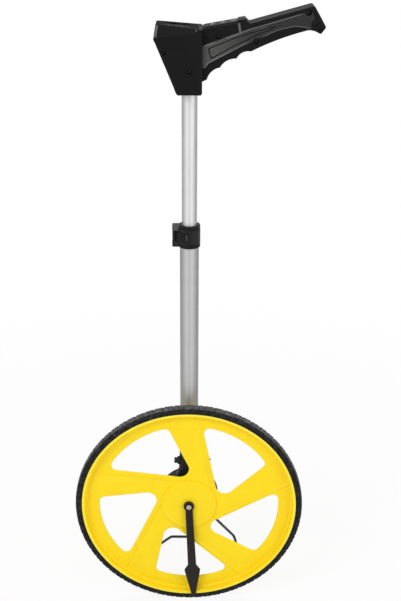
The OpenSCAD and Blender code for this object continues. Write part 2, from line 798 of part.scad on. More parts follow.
module stand_wire() color("dimgray") {
    last = len(STAND_PATH) - 1;
    for (i = [0:last - 1]) {
        p = STAND_PATH[i];
        q = STAND_PATH[i + 1];
        along = (q - p) / norm(q - p);
        from = i == 0 ? p : p + along * (bend_start(STAND_PATH[i - 1], p, q) - run_overlap);
        to = i == last - 1 ? q : q - along * (bend_start(p, q, STAND_PATH[i + 2]) - run_overlap);
        wire_run(from, to);
    }
    for (i = [1:last - 1]) wire_bend(STAND_PATH[i - 1], STAND_PATH[i], STAND_PATH[i + 1]);
}

module stand_clip() color("gray") difference() {
    union() {
        translate([0, stand_y, stand_z]) rod_x(clip_r, -clip_half, clip_half);
        translate([-clip_half, housing_back, stand_z - clip_r])
            cube([2 * clip_half, stand_reach, 2 * clip_r]);
        translate([-clip_half, housing_back, stand_z])
            cube([2 * clip_half, clip_t, clip_screw_z + clip_half - stand_z]);
    }
    translate([0, stand_y, stand_z]) rod_x(wire_r + running_gap, -clip_half - eps, clip_half + eps);
    translate([0, 0, clip_screw_z]) rod_y(cover_screw_r, housing_back - eps, housing_back + clip_t + 1);
}

module clip_screw() color("silver") translate([0, 0, clip_screw_z]) {
    rod_y(cover_screw_r, plate_front, housing_back + clip_t + 1);
    rod_y(cover_screw_head_r, housing_back + clip_t, housing_back + clip_t + 2);
}

// Pole and clamp

module lower_tube() color("gainsboro") at_pole() difference() {
    ring_z(lower_r, lower_bore_r, tube_foot, lower_top);
    translate([0, 0, bolt_z]) rod_x(bolt_r + seat_gap, -2 * lower_r, 2 * lower_r);
}

module tube_liner() color("darkgray") at_pole() {
    ring_z(lower_bore_r, upper_r + running_gap, lower_top - liner_len, lower_top + eps);
    ring_z(lower_r, upper_r + running_gap, lower_top, lower_top + liner_flange);
}

module clamp_collar() color("black") at_pole() difference() {
    union() {
        ring_z(collar_r, lower_r, collar_foot, lower_top + liner_flange);
        ring_z(collar_r, upper_r + side_gap + seat_gap, lower_top + liner_flange, collar_top);
        for (z = [collar_foot, collar_top - lug_h]) difference() {
            translate([0, 0, z]) linear_extrude(lug_h) union() {
                translate([pin_x, 0]) circle(r = lug_r);
                translate([pin_x, -lug_r]) square([-pin_x - lower_r + collar_wall, 2 * lug_r]);
            }
            translate([0, 0, z - eps]) cylinder(r = lower_r + collar_wall / 2, h = lug_h + 2 * eps);
        }
    }
    translate([pin_x, 0, lever_foot - side_gap])
        cylinder(r = lever_hub_r + side_gap, h = lever_top - lever_foot + 2 * side_gap);
    translate([pin_x, 0, collar_foot + 1]) cylinder(r = pin_r, h = collar_h - 2);
    translate([-collar_slit / 2, upper_r, collar_foot - eps])
        cube([collar_slit, 2 * collar_wall + lower_r - upper_r, collar_h + 2 * eps]);
}

module clamp_pin() color("silver") at_pole() translate([pin_x, 0, collar_foot + 1])
    cylinder(r = pin_r, h = collar_h - 2);

// A sector of a flat ring between two angles
module ring_sector(r0, r1, from, to) {
    reach_r = 2 * r1;
    middle = (from + to) / 2;
    intersection() {
        difference() {
            circle(r = r1);
            circle(r = r0);
        }
        polygon([[0, 0], reach_r * [cos(from), sin(from)], reach_r * [cos(middle), sin(middle)],
            reach_r * [cos(to), sin(to)]]);
    }
}

module clamp_lever() color("black") at_pole() translate([0, 0, lever_foot]) difference() {
    union() {
        translate([pin_x, 0, 0]) cylinder(r = lever_hub_r, h = lever_top - lever_foot);
        translate([0, 0, lever_inset]) rotate(180) linear_extrude(lever_top - lever_foot - 2 * lever_inset)
            ring_sector(lever_r, lever_r + lever_t, lip_angle, lever_sweep);
        translate([0, 0, 2 * lever_inset]) rotate(180)
            linear_extrude(lever_top - lever_foot - 4 * lever_inset)
            ring_sector(lever_r + lever_t / 2, lever_r + lever_t + lip_h,
                lever_sweep - lip_angle, lever_sweep + lip_angle / 7);
    }
    translate([pin_x, 0, -eps]) cylinder(r = pin_r + running_gap, h = lever_top - lever_foot + 2 * eps);
}

module upper_tube() color("whitesmoke") at_pole() difference() {
    ring_z(upper_r, upper_bore_r, upper_foot, upper_top);
    translate([TUBE_SCREW[0], 0, head_z + TUBE_SCREW[1]])
        rod_y(screw_r + seat_gap, -2 * upper_r, 2 * upper_r);
}

module guide_bush() color("darkgray") at_pole() {
    ring_z(lower_bore_r - running_gap, upper_r, upper_foot, upper_foot + bush_skirt);
    ring_z(lower_bore_r - running_gap, upper_bore_r - 2, upper_foot - bush_cap, upper_foot);
    ring_z(upper_bore_r, upper_bore_r - 2, upper_foot - eps, upper_foot + bush_skirt / 2);
}

module ferrule() color("dimgray") at_head() ring_z(upper_r + 2.5, upper_r, -1.5, 5);

// Handle shells: one half is drawn on the -Y side of the handle's middle plane, and the other is its mirror

// The posts that take the screws and the strap hole
module posts() {
    for (p = HEAD_SCREWS) translate([p[0], 0, p[1]]) rod_y(post_r, -head_w / 2 + shell_wall / 2, 0);
    for (p = GRIP_SCREWS) translate([p[0], 0, p[1]]) rod_y(post_r, -grip_w / 2 + shell_wall / 2, 0);
    translate([STRAP[0], 0, STRAP[1]]) rod_y(strap_boss_r, -grip_w / 2 + shell_wall / 2, 0);
}

// Two cross walls that hold the pole's end
module saddles() {
    for (z = [7, tube_insert - 7]) intersection() {
        slab(-head_w / 2 + shell_wall / 2, 0) polygon(HEAD_CAVITY);
        translate([-head_front, -head_w / 2, z]) cube([head_front + head_back, head_w / 2, 3]);
    }
}

// Openings in the neck's top, one for each key
module key_holes() {
    translate([head_back, 0, neck_z]) rotate([0, -neck_rise, 0]) for (i = [0:2])
        translate([key_first + i * key_pitch - key_l / 2 - side_gap, -key_w / 2 - side_gap, -shell_wall - 1])
            cube([key_l + 2 * side_gap, key_w + 2 * side_gap, shell_wall + 3]);
}

// One half of the handle, without its screw holes
module half_shell() {
    difference() {
        union() {
            difference() {
                union() {
                    slab(-head_w / 2, 0) polygon(HEAD);
                    slab(-grip_w / 2, 0) polygon(GRIP);
                }
                slab(-head_w / 2 + shell_wall, eps) polygon(HEAD_CAVITY);
                slab(-grip_w / 2 + shell_wall, eps) polygon(GRIP_CAVITY);
            }
            posts();
            saddles();
        }
        cylinder(r = upper_r, h = tube_insert);
        translate([0, 0, -eps]) cylinder(r = upper_r + 2.5, h = 5 + eps);
        slab(-grip_w / 2 - eps, -grip_w / 2 + insert_seat) polygon(INSERT);
        key_holes();
        translate([STRAP[0], 0, STRAP[1]]) rod_y(strap_hole_d / 2, -grip_w, eps);
    }
}

// Each screw's place along Y: its half width, for the head or the grip
module at_screws() {
    for (p = HEAD_SCREWS) translate([p[0], -head_w / 2, p[1]]) children();
    for (p = GRIP_SCREWS) translate([p[0], -grip_w / 2, p[1]]) children();
}

module handle_shell_front() color("black") at_head() difference() {
    half_shell();
    at_screws() {
        rod_y(screw_head_r + seat_gap, -eps, screw_recess + screw_head_h);
        rod_y(screw_r + seat_gap, 0, head_w / 2);
    }
}

module handle_shell_rear() color("dimgray") at_head() difference() {
    mirror([0, 1, 0]) half_shell();
    for (p = concat(HEAD_SCREWS, GRIP_SCREWS)) translate([p[0], 0, p[1]]) rod_y(screw_r, -eps, screw_bite);
    translate([bay_mid[0] - door_l / 2, head_inner - eps, bay_mid[1] - door_h / 2])
        cube([door_l, shell_wall + 2 * eps, door_h]);
}

module handle_screws() color("gray") at_head() {
    for (p = HEAD_SCREWS) translate([p[0], 0, p[1]]) {
        rod_y(screw_head_r, -head_w / 2 + screw_recess, -head_w / 2 + screw_recess + screw_head_h);
        rod_y(screw_r, -head_w / 2 + screw_recess + screw_head_h / 2, screw_bite);
    }
    for (p = GRIP_SCREWS) translate([p[0], 0, p[1]]) {
        rod_y(screw_head_r, -grip_w / 2 + screw_recess, -grip_w / 2 + screw_recess + screw_head_h);
        rod_y(screw_r, -grip_w / 2 + screw_recess + screw_head_h / 2, screw_bite);
    }
}

// The insert of one side, on the -Y side of the middle plane
module half_insert() {
    difference() {
        slab(-grip_w / 2 - insert_proud, -grip_w / 2 + insert_seat) polygon(INSERT);
        slab(-grip_w / 2 - insert_proud - eps, -grip_w / 2 - insert_proud + insert_recess)
            polygon(INSERT_WEDGE);
        translate([STRAP[0], 0, STRAP[1]]) rod_y(strap_boss_r + 1, -grip_w, 0);
        for (p = GRIP_SCREWS) translate([p[0], 0, p[1]]) rod_y(screw_head_r + 1.2, -grip_w, 0);
    }
}

module grip_insert_front() color("slategray") at_head() half_insert();

module grip_insert_rear() color("slategray") at_head() mirror([0, 1, 0]) half_insert();

// Display

// What the sloping side of the bezel removes on the -Y side
module draft_cut() {
    translate([bezel_low_x, -head_w / 2, bezel_low]) rotate([0, -parting_angle, 0])
        rotate([-bezel_draft, 0, 0]) translate([-head_front, -head_w, 0])
        cube([3 * head_front, head_w, head_h]);
}

module display_bezel() color("darkslategray") {
    difference() {
        at_head() difference() {
            slab(-head_w / 2, head_w / 2) polygon(BEZEL);
            draft_cut();
            mirror([0, 1, 0]) draft_cut();
        }
        at_display() {
            translate([shell_wall, -bezel_inner, -head_h])
                cube([display_len - 2 * shell_wall, 2 * bezel_inner, head_h - bezel_top]);
            translate([window_start - seat_gap, -window_w / 2 - seat_gap, -window_foot])
                cube([window_l + 2 * seat_gap, window_w + 2 * seat_gap, window_foot + eps]);
            translate([window_start + window_lip, -window_w / 2 + window_lip, -bezel_top - eps])
                cube([window_l - 2 * window_lip, window_w - 2 * window_lip, bezel_top]);
        }
    }
    // Posts that carry the main board
    at_display() for (x = [-1, 1], y = [-1, 1])
        translate([display_len / 2 + x * (board_l / 2 - 2), y * (board_w / 2 - 2.5), -board_top])
            cylinder(r = 1.8, h = board_top - bezel_top + eps);
}

module display_window() color("lightblue") at_display()
    translate([window_start, -window_w / 2, -window_foot])
        cube([window_l, window_w, window_t]);

module lcd_panel() color("darkseagreen") at_display()
    translate([window_start + lcd_inset, -lcd_w / 2, -board_top])
        cube([window_l - 2 * lcd_inset, lcd_w, lcd_t]);

module main_board() color("green") at_display()
    translate([(display_len - board_l) / 2, -board_w / 2, -board_top - board_t])
        cube([board_l, board_w, board_t]);

// Keys

module key(i) {
    at_neck() translate([key_first + i * key_pitch, 0, 0]) {
        translate([-key_l / 2, -key_w / 2, key_foot]) cube([key_l, key_w, key_proud - key_foot]);
        translate([-key_l / 2 - key_flange, -key_w / 2 - key_flange, key_foot])
            cube([key_l + 2 * key_flange, key_w + 2 * key_flange, key_flange_t]);
    }
}

module key_power() color("dimgray") key(0);

module key_unit() color("gray") key(1);

module key_reset() color("gray") key(2);

module key_board() color("green") at_neck()
    translate([3, -grip_w / 2 + shell_wall, key_board_top - board_t])
        cube([neck_len - 8, grip_w - 2 * shell_wall, board_t]);

module key_domes() color("silver") at_neck() for (i = [0:2])
    translate([key_first + i * key_pitch, 0, key_board_top]) cylinder(r = dome_r, h = dome_h);

// Battery bay

module at_cells() {
    for (side = [-1, 1]) translate([bay_mid[0] + side * cell_pitch / 2, 0, bay_mid[1]]) children();
}

module battery_tray() color("dimgray") at_head() difference() {
    translate([bay_mid[0] - tray_l / 2, -head_inner, bay_mid[1] - tray_h / 2])
        cube([tray_l, head_inner + cell_end - 1, tray_h]);
    at_cells() rod_y(cell_r + seat_gap, -head_inner - eps, cell_end + eps);
}

module battery_cells() color("orange") at_head() at_cells() rod_y(cell_r, cell_start, cell_end);

module battery_contacts() color("silver") at_head() at_cells() rod_y(cell_r - 1, -head_inner, cell_start);

module battery_door() color("gray") at_head()
    translate([bay_mid[0] - door_l / 2 + side_gap, head_inner, bay_mid[1] - door_h / 2 + side_gap])
        cube([door_l - 2 * side_gap, shell_wall, door_h - 2 * side_gap]);

module door_contact() color("silver") at_head()
    translate([bay_mid[0] - tray_l / 2 + 2, head_inner - door_plate_t, bay_mid[1] - 4])
        cube([tray_l - 4, door_plate_t, 8]);

wheel_rim();
tyre();
hub_cover();
front_bush();
rear_bush();
encoder_magnets();
axle();
front_washer();
rear_washer();
axle_nut();
pointer();
pointer_screw();
hub_housing();
housing_cover();
cover_screws();
sensor_board();
socket_bolt();
socket_wing_nut();
stand_wire();
stand_clip();
clip_screw();
lower_tube();
tube_liner();
clamp_collar();
clamp_pin();
clamp_lever();
upper_tube();
guide_bush();
ferrule();
handle_shell_front();
handle_shell_rear();
grip_insert_front();
grip_insert_rear();
handle_screws();
display_bezel();
display_window();
lcd_panel();
main_board();
key_power();
key_unit();
key_reset();
key_board();
key_domes();
battery_tray();
battery_cells();
battery_contacts();
battery_door();
door_contact();
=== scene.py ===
"""Looks of a digital measuring wheel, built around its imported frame.

Sizes are in millimetres in the row's frame: X right, Y away from the pointer side, Z up. Meshes are made in
metres when a piece is finished.
"""

import json
import logging
import math
from dataclasses import dataclass
from enum import Enum
from functools import lru_cache
from typing import Any, Sequence

import bmesh
import bpy
import numpy as np
from mathutils import Matrix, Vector
from mathutils.geometry import tessellate_polygon


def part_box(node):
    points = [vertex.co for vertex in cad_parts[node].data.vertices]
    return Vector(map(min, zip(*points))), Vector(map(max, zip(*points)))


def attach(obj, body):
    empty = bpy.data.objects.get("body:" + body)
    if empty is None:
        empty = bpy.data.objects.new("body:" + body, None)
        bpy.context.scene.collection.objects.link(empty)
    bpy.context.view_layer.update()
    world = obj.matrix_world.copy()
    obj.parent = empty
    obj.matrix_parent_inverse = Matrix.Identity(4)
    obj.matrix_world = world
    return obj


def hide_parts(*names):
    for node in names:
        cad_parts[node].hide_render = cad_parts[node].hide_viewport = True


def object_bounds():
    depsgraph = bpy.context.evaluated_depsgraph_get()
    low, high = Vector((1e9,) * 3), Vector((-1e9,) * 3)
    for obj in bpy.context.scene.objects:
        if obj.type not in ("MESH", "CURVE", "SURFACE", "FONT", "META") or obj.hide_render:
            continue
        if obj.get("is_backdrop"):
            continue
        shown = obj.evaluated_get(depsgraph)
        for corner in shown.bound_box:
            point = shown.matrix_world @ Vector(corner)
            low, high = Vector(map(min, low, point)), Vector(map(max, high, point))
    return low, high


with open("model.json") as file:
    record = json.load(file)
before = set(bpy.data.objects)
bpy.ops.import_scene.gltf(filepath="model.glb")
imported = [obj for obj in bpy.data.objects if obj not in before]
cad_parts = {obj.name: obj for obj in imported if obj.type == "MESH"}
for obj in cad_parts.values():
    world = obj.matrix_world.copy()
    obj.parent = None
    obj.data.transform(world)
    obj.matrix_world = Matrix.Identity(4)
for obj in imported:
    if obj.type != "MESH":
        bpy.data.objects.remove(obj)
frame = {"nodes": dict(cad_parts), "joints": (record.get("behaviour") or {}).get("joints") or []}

log = logging.getLogger("measuring_wheel")
MM = 0.001
Array = np.ndarray
Rgb = tuple[float, float, float]
Edge = tuple[float, float]
Point = tuple[float, float, float]
Rounding = float | Edge

# Roundings of edges that lie against another piece or hardly show
HAIR = 0.02
CRISP = 0.1
SLIGHT = 0.2

# Segments round circles: the wheel, round pieces of a hand's width, and holes
WHEEL_STEPS = 192
ROUND_STEPS = 128
HOLE_STEPS = 32


# Surfaces

def heading(degrees: float) -> Array:
    """The unit vector at an angle, anticlockwise from the first axis."""
    return np.array([math.cos(math.radians(degrees)), math.sin(math.radians(degrees))])


def normed(vectors: Array) -> Array:
    """Rows of vectors, each brought to a length of one."""
    return vectors / np.linalg.norm(vectors, axis=1, keepdims=True)


@dataclass
class Surface:
    """Vertices and faces of a mesh. Flat shapes start in coordinates a, b and depth."""

    verts: Array
    faces: list[Array]

    def __add__(self, other: "Surface") -> "Surface":
        """Both surfaces as one, without joining their vertices."""
        moved = [f + len(self.verts) for f in other.faces]
        return Surface(np.vstack([self.verts, other.verts]), self.faces + moved)

    def upright(self) -> "Surface":
        """Turns a, b, depth into X, Z, Y."""
        return Surface(self.verts[:, [0, 2, 1]], self.faces)

    def along_x(self) -> "Surface":
        """Turns a, b, depth into Y, Z, X."""
        return Surface(self.verts[:, [2, 0, 1]], self.faces)

    def shifted(self, x: float = 0.0, y: float = 0.0, z: float = 0.0) -> "Surface":
        """The surface moved by a distance along each axis."""
        return Surface(self.verts + np.array([x, y, z]), self.faces)

    def round_axle(self, height: float) -> "Surface":
        """Turns what is drawn round the axle upright, and lifts it to the axle's height."""
        return self.upright().shifted(z=height)

    def mirrored(self, y: float) -> "Surface":
        """The surface mirrored in the plane at a place along Y."""
        return Surface(self.verts * [1, -1, 1] + [0, 2 * y, 0], self.faces)


@dataclass(frozen=True)
class Place:
    """A local frame: its origin and its three axes as rows."""

    origin: Point
    axes: tuple[Point, ...] = ((1, 0, 0), (0, 1, 0), (0, 0, 1))

    @classmethod
    def tilted(cls, origin: Point, rise: float) -> "Place":
        """A frame turned about Y, so that its X axis rises by an angle in degrees."""
        c, s = heading(rise)
        return cls(origin, ((c, 0, s), (0, 1, 0), (-s, 0, c)))

    @classmethod
    def tipped(cls, origin: Point, rise: float) -> "Place":
        """A frame turned about X, so that its Y axis rises by an angle in degrees."""
        c, s = heading(rise)
        return cls(origin, ((1, 0, 0), (0, c, s), (0, -s, c)))

    def put(self, surface: Surface) -> Surface:
        """The surface carried from this frame into the row's frame."""
        return Surface(surface.verts @ np.array(self.axes) + np.array(self.origin), surface.faces)


def total(surfaces: Sequence[Surface]) -> Surface:
    """Several surfaces as one."""
    first, *rest = surfaces
    for other in rest:
        first = first + other
    return first


def grid(points: Array, wrap_rows: bool = False, wrap_columns: bool = False) -> Surface:
    """Quads over points on a grid of two parameters.

    Args:
        points: an array of shape rows, columns, 3.
        wrap_rows: joins the last row to the first.
        wrap_columns: joins the last column to the first.

    Returns:
        The surface of the grid.
    """
    index = np.arange(points.shape[0] * points.shape[1]).reshape(points.shape[:2])
    if wrap_rows:
        index = np.vstack([index, index[:1]])
    if wrap_columns:
        index = np.hstack([index, index[:, :1]])
    quads = np.stack([index[:-1, :-1], index[1:, :-1], index[1:, 1:], index[:-1, 1:]], axis=-1)
    return Surface(points.reshape(-1, 3), [quads.reshape(-1, 4)])


def cap(loops: Sequence[Array]) -> Surface:
    """A flat face bounded by closed loops of points: the first is its outside, the others are holes."""
    triangles = tessellate_polygon([loop.tolist() for loop in loops])
    return Surface(np.vstack(loops), [np.array(triangles, dtype=int)])


def arc(angle: Array, radius: float, centre: Sequence[float] = (0.0, 0.0)) -> Array:
    """Points at angles, in radians, on a circle."""
    return np.stack([np.cos(angle), np.sin(angle)], axis=-1) * radius + np.array(centre)


def capped(rings: Array) -> Surface:
    """A surface through closed rings of points, with a flat face at each end."""
    return total([grid(rings, wrap_columns=True), cap([rings[0]]), cap([rings[-1]])])


def circle(radius: float, centre: Sequence[float] = (0.0, 0.0), steps: int = 48) -> Array:
    """A circle's points, anticlockwise."""
    return arc(np.linspace(0, 2 * np.pi, steps, endpoint=False), radius, centre)


def fillet(
    corners: Any,
    radii: float | Sequence[float],
    closed: bool = True,
    steps: int = 6,
) -> Array:
    """An outline or a path with its corners rounded.

    Each corner becomes an arc that touches both its edges: the arc's centre lies on the bisector, at the
    radius divided by the sine of half the corner's angle, and its points are the blended end radii at full
    length.

    Args:
        corners: the corner points, in two or three dimensions.
        radii: one radius, or one for each corner; zero keeps a corner sharp.
        closed: whether the last corner joins the first.
        steps: segments of each arc.

    Returns:
        The rounded points.
    """
    corners = np.asarray(corners, float)
    radius = np.broadcast_to(np.asarray(radii, float), len(corners)).copy()
    if not closed:
        radius[[0, -1]] = 0
    before = np.roll(corners, 1, axis=0) - corners
    after = np.roll(corners, -1, axis=0) - corners
    u, v = normed(before), normed(after)
    half = np.arccos(np.clip((u * v).sum(1), -1, 1)) / 2
    bisector = (u + v) / np.maximum(np.linalg.norm(u + v, axis=1, keepdims=True), 1e-9)
    centre = corners + bisector * (radius / np.sin(half))[:, None]
    reach = (radius / np.tan(half))[:, None]
    t = np.linspace(0, 1, steps + 1)[None, :, None]
    arm = (corners + u * reach - centre)[:, None] * (1 - t) + (corners + v * reach - centre)[:, None] * t
    length = np.maximum(np.linalg.norm(arm, axis=2, keepdims=True), 1e-9)
    points = (centre[:, None] + arm * (radius[:, None, None] / length)).reshape(-1, corners.shape[1])
    gap = np.linalg.norm(points - np.roll(points, 1, axis=0), axis=1)
    gap[0] = max(gap[0], 0.0 if closed else 1.0)
    return points[gap > 1e-6]


def rounded_box(
    width: float,
    height: float,
    radius: float,
    centre: Edge = (0.0, 0.0),
    steps: int = 6,
) -> Array:
    """A rectangle with rounded corners, anticlockwise."""
    half = np.array([width, height]) / 2
    corners = np.array([[-1, -1], [1, -1], [1, 1], [-1, 1]]) * half + np.array(centre)
    return fillet(corners, radius, steps=steps)


def refine(loop: Array, step: float) -> Array:
    """The loop with points added along each edge, so that none is longer than a step.

    A stack of loops of equal length is refined alike, by the edges of its first loop.
    """
    edge = np.roll(loop, -1, axis=-2) - loop
    length = np.linalg.norm(edge.reshape(-1, *loop.shape[-2:])[0], axis=-1)
    parts = np.maximum(1, np.ceil(length / step)).astype(int)
    first = np.repeat(np.arange(len(parts)), parts)
    share = (np.arange(parts.sum()) - np.repeat(np.cumsum(parts) - parts, parts)) / parts[first]
    return loop[..., first, :] + edge[..., first, :] * share[:, None]


def bite(loop: Array, centre: Sequence[float], radius: float, steps: int = 14) -> Array:
    """The loop with a round bite taken out of its edge.

    Points inside the circle give way to its arc, run clockwise from where the loop enters to where it
    leaves.

    Args:
        loop: a fine outline, anticlockwise.
        centre: the circle's centre.
        radius: the circle's radius.
        steps: segments of the arc.

    Returns:
        The bitten outline.
    """
    away = loop - np.array(centre)
    inside = np.linalg.norm(away, axis=1) < radius
    if not inside.any():
        return loop
    first = np.flatnonzero(~inside & np.roll(inside, 1))[0]
    kept = np.roll(loop, -first, axis=0)[~np.roll(inside, -first)]
    leave, enter = (np.arctan2(*(p - np.array(centre))[::-1]) for p in (kept[0], kept[-1]))
    angle = enter - np.linspace(0, (enter - leave) % (2 * np.pi), steps + 1)
    return np.vstack([kept, arc(angle, radius, centre)])


def turned(outline: Array, degrees: float) -> Array:
    """A flat outline turned anticlockwise about the origin."""
    c, s = heading(degrees)
    return outline @ np.array([[c, s], [-s, c]])


def mitres(loop: Array) -> Array:
    """For each corner, the shift that moves both its edges to the left by one unit.

    It is the sum of the two edges' left normals, divided by one plus their product.
    """
    edge = normed(np.roll(loop, -1, axis=0) - loop)
    left = np.stack([-edge[:, 1], edge[:, 0]], axis=-1)
    last = np.roll(left, 1, axis=0)
    return (left + last) / np.maximum(1 + (left * last).sum(1), 0.4)[:, None]


def plate(
    outline: Array,
    start: float,
    end: float,
    front: Rounding = 0.6,
    back: Rounding = 0.4,
    holes: Sequence[Array] = (),
    hole_edge: Rounding = 0.4,
    soft: float | Array = 1.0,
) -> Surface:
    """A closed plate with rounded edges, in coordinates a, b and depth.

    The edge's profile is a quarter ellipse, a straight wall and a quarter ellipse. It is carried round each
    loop: a point is the loop's point plus its mitre times the profile's inset, at the profile's depth. A
    rounding is its inset and depth, or one number for both.

    Args:
        outline: the outside, anticlockwise.
        start: depth of the front face.
        end: depth of the back face.
        front: the rounding at the front.
        back: the rounding at the back.
        holes: loops of through holes, anticlockwise.
        hole_edge: the rounding round the holes.
        soft: share of the outside's rounding, for all points or for each.

    Returns:
        The plate's surface.
    """
    t = np.linspace(0, np.pi / 2, 5)[:, None]
    walls = []
    for number, loop in enumerate([outline] + [hole[::-1] for hole in holes]):
        edges = (front, back) if number == 0 else (hole_edge, hole_edge)
        near, far = (np.broadcast_to(edge, 2) for edge in edges)
        share = np.reshape(soft if number == 0 else 1.0, (1, -1))
        inset = np.vstack([near[0] * share * (1 - np.sin(t)), far[0] * share * (1 - np.cos(t))])
        depth = np.vstack([start + near[1] * share * (1 - np.cos(t)),
                           end - far[1] * share * (1 - np.sin(t))])
        flat = loop[None] + mitres(loop)[None] * inset[..., None]
        deep = np.broadcast_to(depth[..., None], flat.shape[:2] + (1,))
        walls.append(np.concatenate([flat, deep], axis=-1))
    sides = [grid(wall, wrap_columns=True) for wall in walls]
    return total(sides + [cap([wall[0] for wall in walls]), cap([wall[-1] for wall in walls])])


def revolve(profile: Array, steps: int = 96, sweep: Edge = (0.0, 360.0)) -> Surface:
    """A closed profile of radius and depth turned round the depth axis.

    A point is radius times cosine, radius times sine, and depth. Part of a turn gets flat ends.

    Args:
        profile: pairs of radius and depth, as a closed loop.
        steps: segments round the axis.
        sweep: first and last angle, in degrees.

    Returns:
        The turned surface, in coordinates a, b and depth.
    """
    whole = abs(sweep[1] - sweep[0]) >= 360
    angle = np.radians(np.linspace(sweep[0], sweep[1], steps, endpoint=not whole))[:, None]
    return swept(profile[None, :, 0], profile[None, :, 1], angle, whole)


def swept(radius: Array, depth: Array, angle: Array, whole: bool) -> Surface:
    """A surface of radius and depth over angles, with one row for each angle.

    Args:
        radius: radii, for one row or for each angle.
        depth: depths, as the radii.
        angle: a column of angles in radians.
        whole: joins the last row to the first; otherwise the ends get flat caps.

    Returns:
        The surface, in coordinates a, b and depth.
    """
    points = np.stack(np.broadcast_arrays(radius * np.cos(angle), radius * np.sin(angle), depth), axis=-1)
    return grid(points, wrap_rows=True, wrap_columns=True) if whole else capped(points)


def ring(
    inner: float,
    outer: float,
    start: float,
    end: float,
    edge: float = 0.4,
    steps: int = 96,
) -> Surface:
    """A turned ring of rectangular section with rounded edges."""
    middle = ((inner + outer) / 2, (start + end) / 2)
    return revolve(rounded_box(outer - inner, end - start, edge, middle, steps=4), steps)


def disc(radius: float, start: float, end: float, front: Rounding = 0.5, back: Rounding = 0.3) -> Surface:
    """A round plate with rounded edges."""
    return plate(circle(radius, steps=64), start, end, front, back)


def tube(path: Array, radius: float, sides: int = 20) -> Surface:
    """A round bar along a path, with rounded ends.

    A point is the path's point plus the radius times a circle in the plane square to the path. Near the ends
    the radius follows a quarter of an ellipse.

    Args:
        path: points along the bar's middle.
        radius: the bar's radius.
        sides: sides of the bar.

    Returns:
        The bar's surface.
    """
    blunt, tip = 0.6, 1e-4
    slant = np.array([0.5, 0.5, 0.7])
    along = normed(np.gradient(path, axis=0))
    t = np.linspace(0, np.pi / 2, 6)[:-1]
    nose = path[0] - along[0] * radius * blunt * (np.cos(t)[:, None] - 1.0)
    tail = path[-1] + along[-1] * radius * blunt * (np.cos(t[::-1])[:, None] - 1.0)
    spine = np.vstack([nose, path[1:-1], tail])
    way = np.vstack([np.repeat(along[:1], len(t), 0), along[1:-1], np.repeat(along[-1:], len(t), 0)])
    size = radius * np.concatenate([np.sin(t) + tip, np.ones(len(path) - 2), np.sin(t[::-1]) + tip])
    side = normed(np.cross(way, slant))
    up = np.cross(side, way)
    angle = np.linspace(0, 2 * np.pi, sides, endpoint=False)[None, :, None]
    wheel = side[:, None] * np.cos(angle) + up[:, None] * np.sin(angle)
    points = spine[:, None] + wheel * size[:, None, None]
    return capped(points)


def smoothstep(value: Array, low: float, high: float) -> Array:
    """Rises from 0 to 1 between two values along three t squared minus two t cubed."""
    t = np.clip((value - low) / (high - low), 0, 1)
    return t * t * (3 - 2 * t)


def eased(floor: float, value: Array, low: float, high: float) -> Array:
    """Rises from a floor to 1 between two values, as smoothstep does."""
    return floor + (1 - floor) * smoothstep(value, low, high)


def screw_head(radius: float, start: float, height: float, centre: Sequence[float], way: int = 1) -> Surface:
    """A round screw head with a cross recess, in coordinates a, b and depth.

    Args:
        radius: the head's radius.
        start: depth of the head's lower end along the depth axis.
        height: the head's height.
        centre: its place across the axis.
        way: 1 if the recess faces towards lower depths, otherwise -1.

    Returns:
        The head's surface.
    """
    arm, half = radius * 0.62, radius * 0.16
    quarter = np.array([[half, half], [half, arm], [-half, arm], [-half, half]])
    cross = np.vstack([turned(quarter, 90 * i)[:3] for i in range(4)])
    crown = (radius * 0.3, height * 0.3)
    face = plate(circle(radius, steps=40), 0.0, height * 0.6, crown, (0.0, HAIR), [cross], 0.06)
    base = disc(radius, height * 0.5, height, HAIR, 0.05)
    made = total([face, base])
    if way < 0:
        made.verts[:, 2] = height - made.verts[:, 2]
    return made.shifted(centre[0], centre[1], start)


# Shader graphs

class Sock:
    """A socket in a node tree. Arithmetic on it adds Math nodes."""

    def __init__(self, graph: "Graph", socket: Any) -> None:
        """Keeps the graph and the output socket."""
        self.graph = graph
        self.socket = socket

    def _math(self, operation: str, first: Any, second: Any) -> "Sock":
        """A Math node on two values."""
        return self.graph.add("Math", {"operation": operation}, {0: first, 1: second})

    def __add__(self, other: Any) -> "Sock":
        """The sum."""
        return self._math("ADD", self, other)

    __radd__ = __add__

    def __sub__(self, other: Any) -> "Sock":
        """The difference."""
        return self._math("SUBTRACT", self, other)

    def __rsub__(self, other: Any) -> "Sock":
        """The reflected difference."""
        return self._math("SUBTRACT", other, self)

    def __mul__(self, other: Any) -> "Sock":
        """The product."""
        return self._math("MULTIPLY", self, other)

    __rmul__ = __mul__

    def larger(self, other: Any) -> "Sock":
        """The larger of two values."""
        return self._math("MAXIMUM", self, other)

    def size(self) -> "Sock":
        """The value without its sign."""
        return self.larger(0 - self)

    def smooth(self, low: float, high: float) -> "Sock":
        """A soft step from 0 to 1 between two values."""
        return self.graph.add("MapRange", {"interpolation_type": "SMOOTHSTEP"},
                              {"Value": self, "From Min": low, "From Max": high}, "Result")


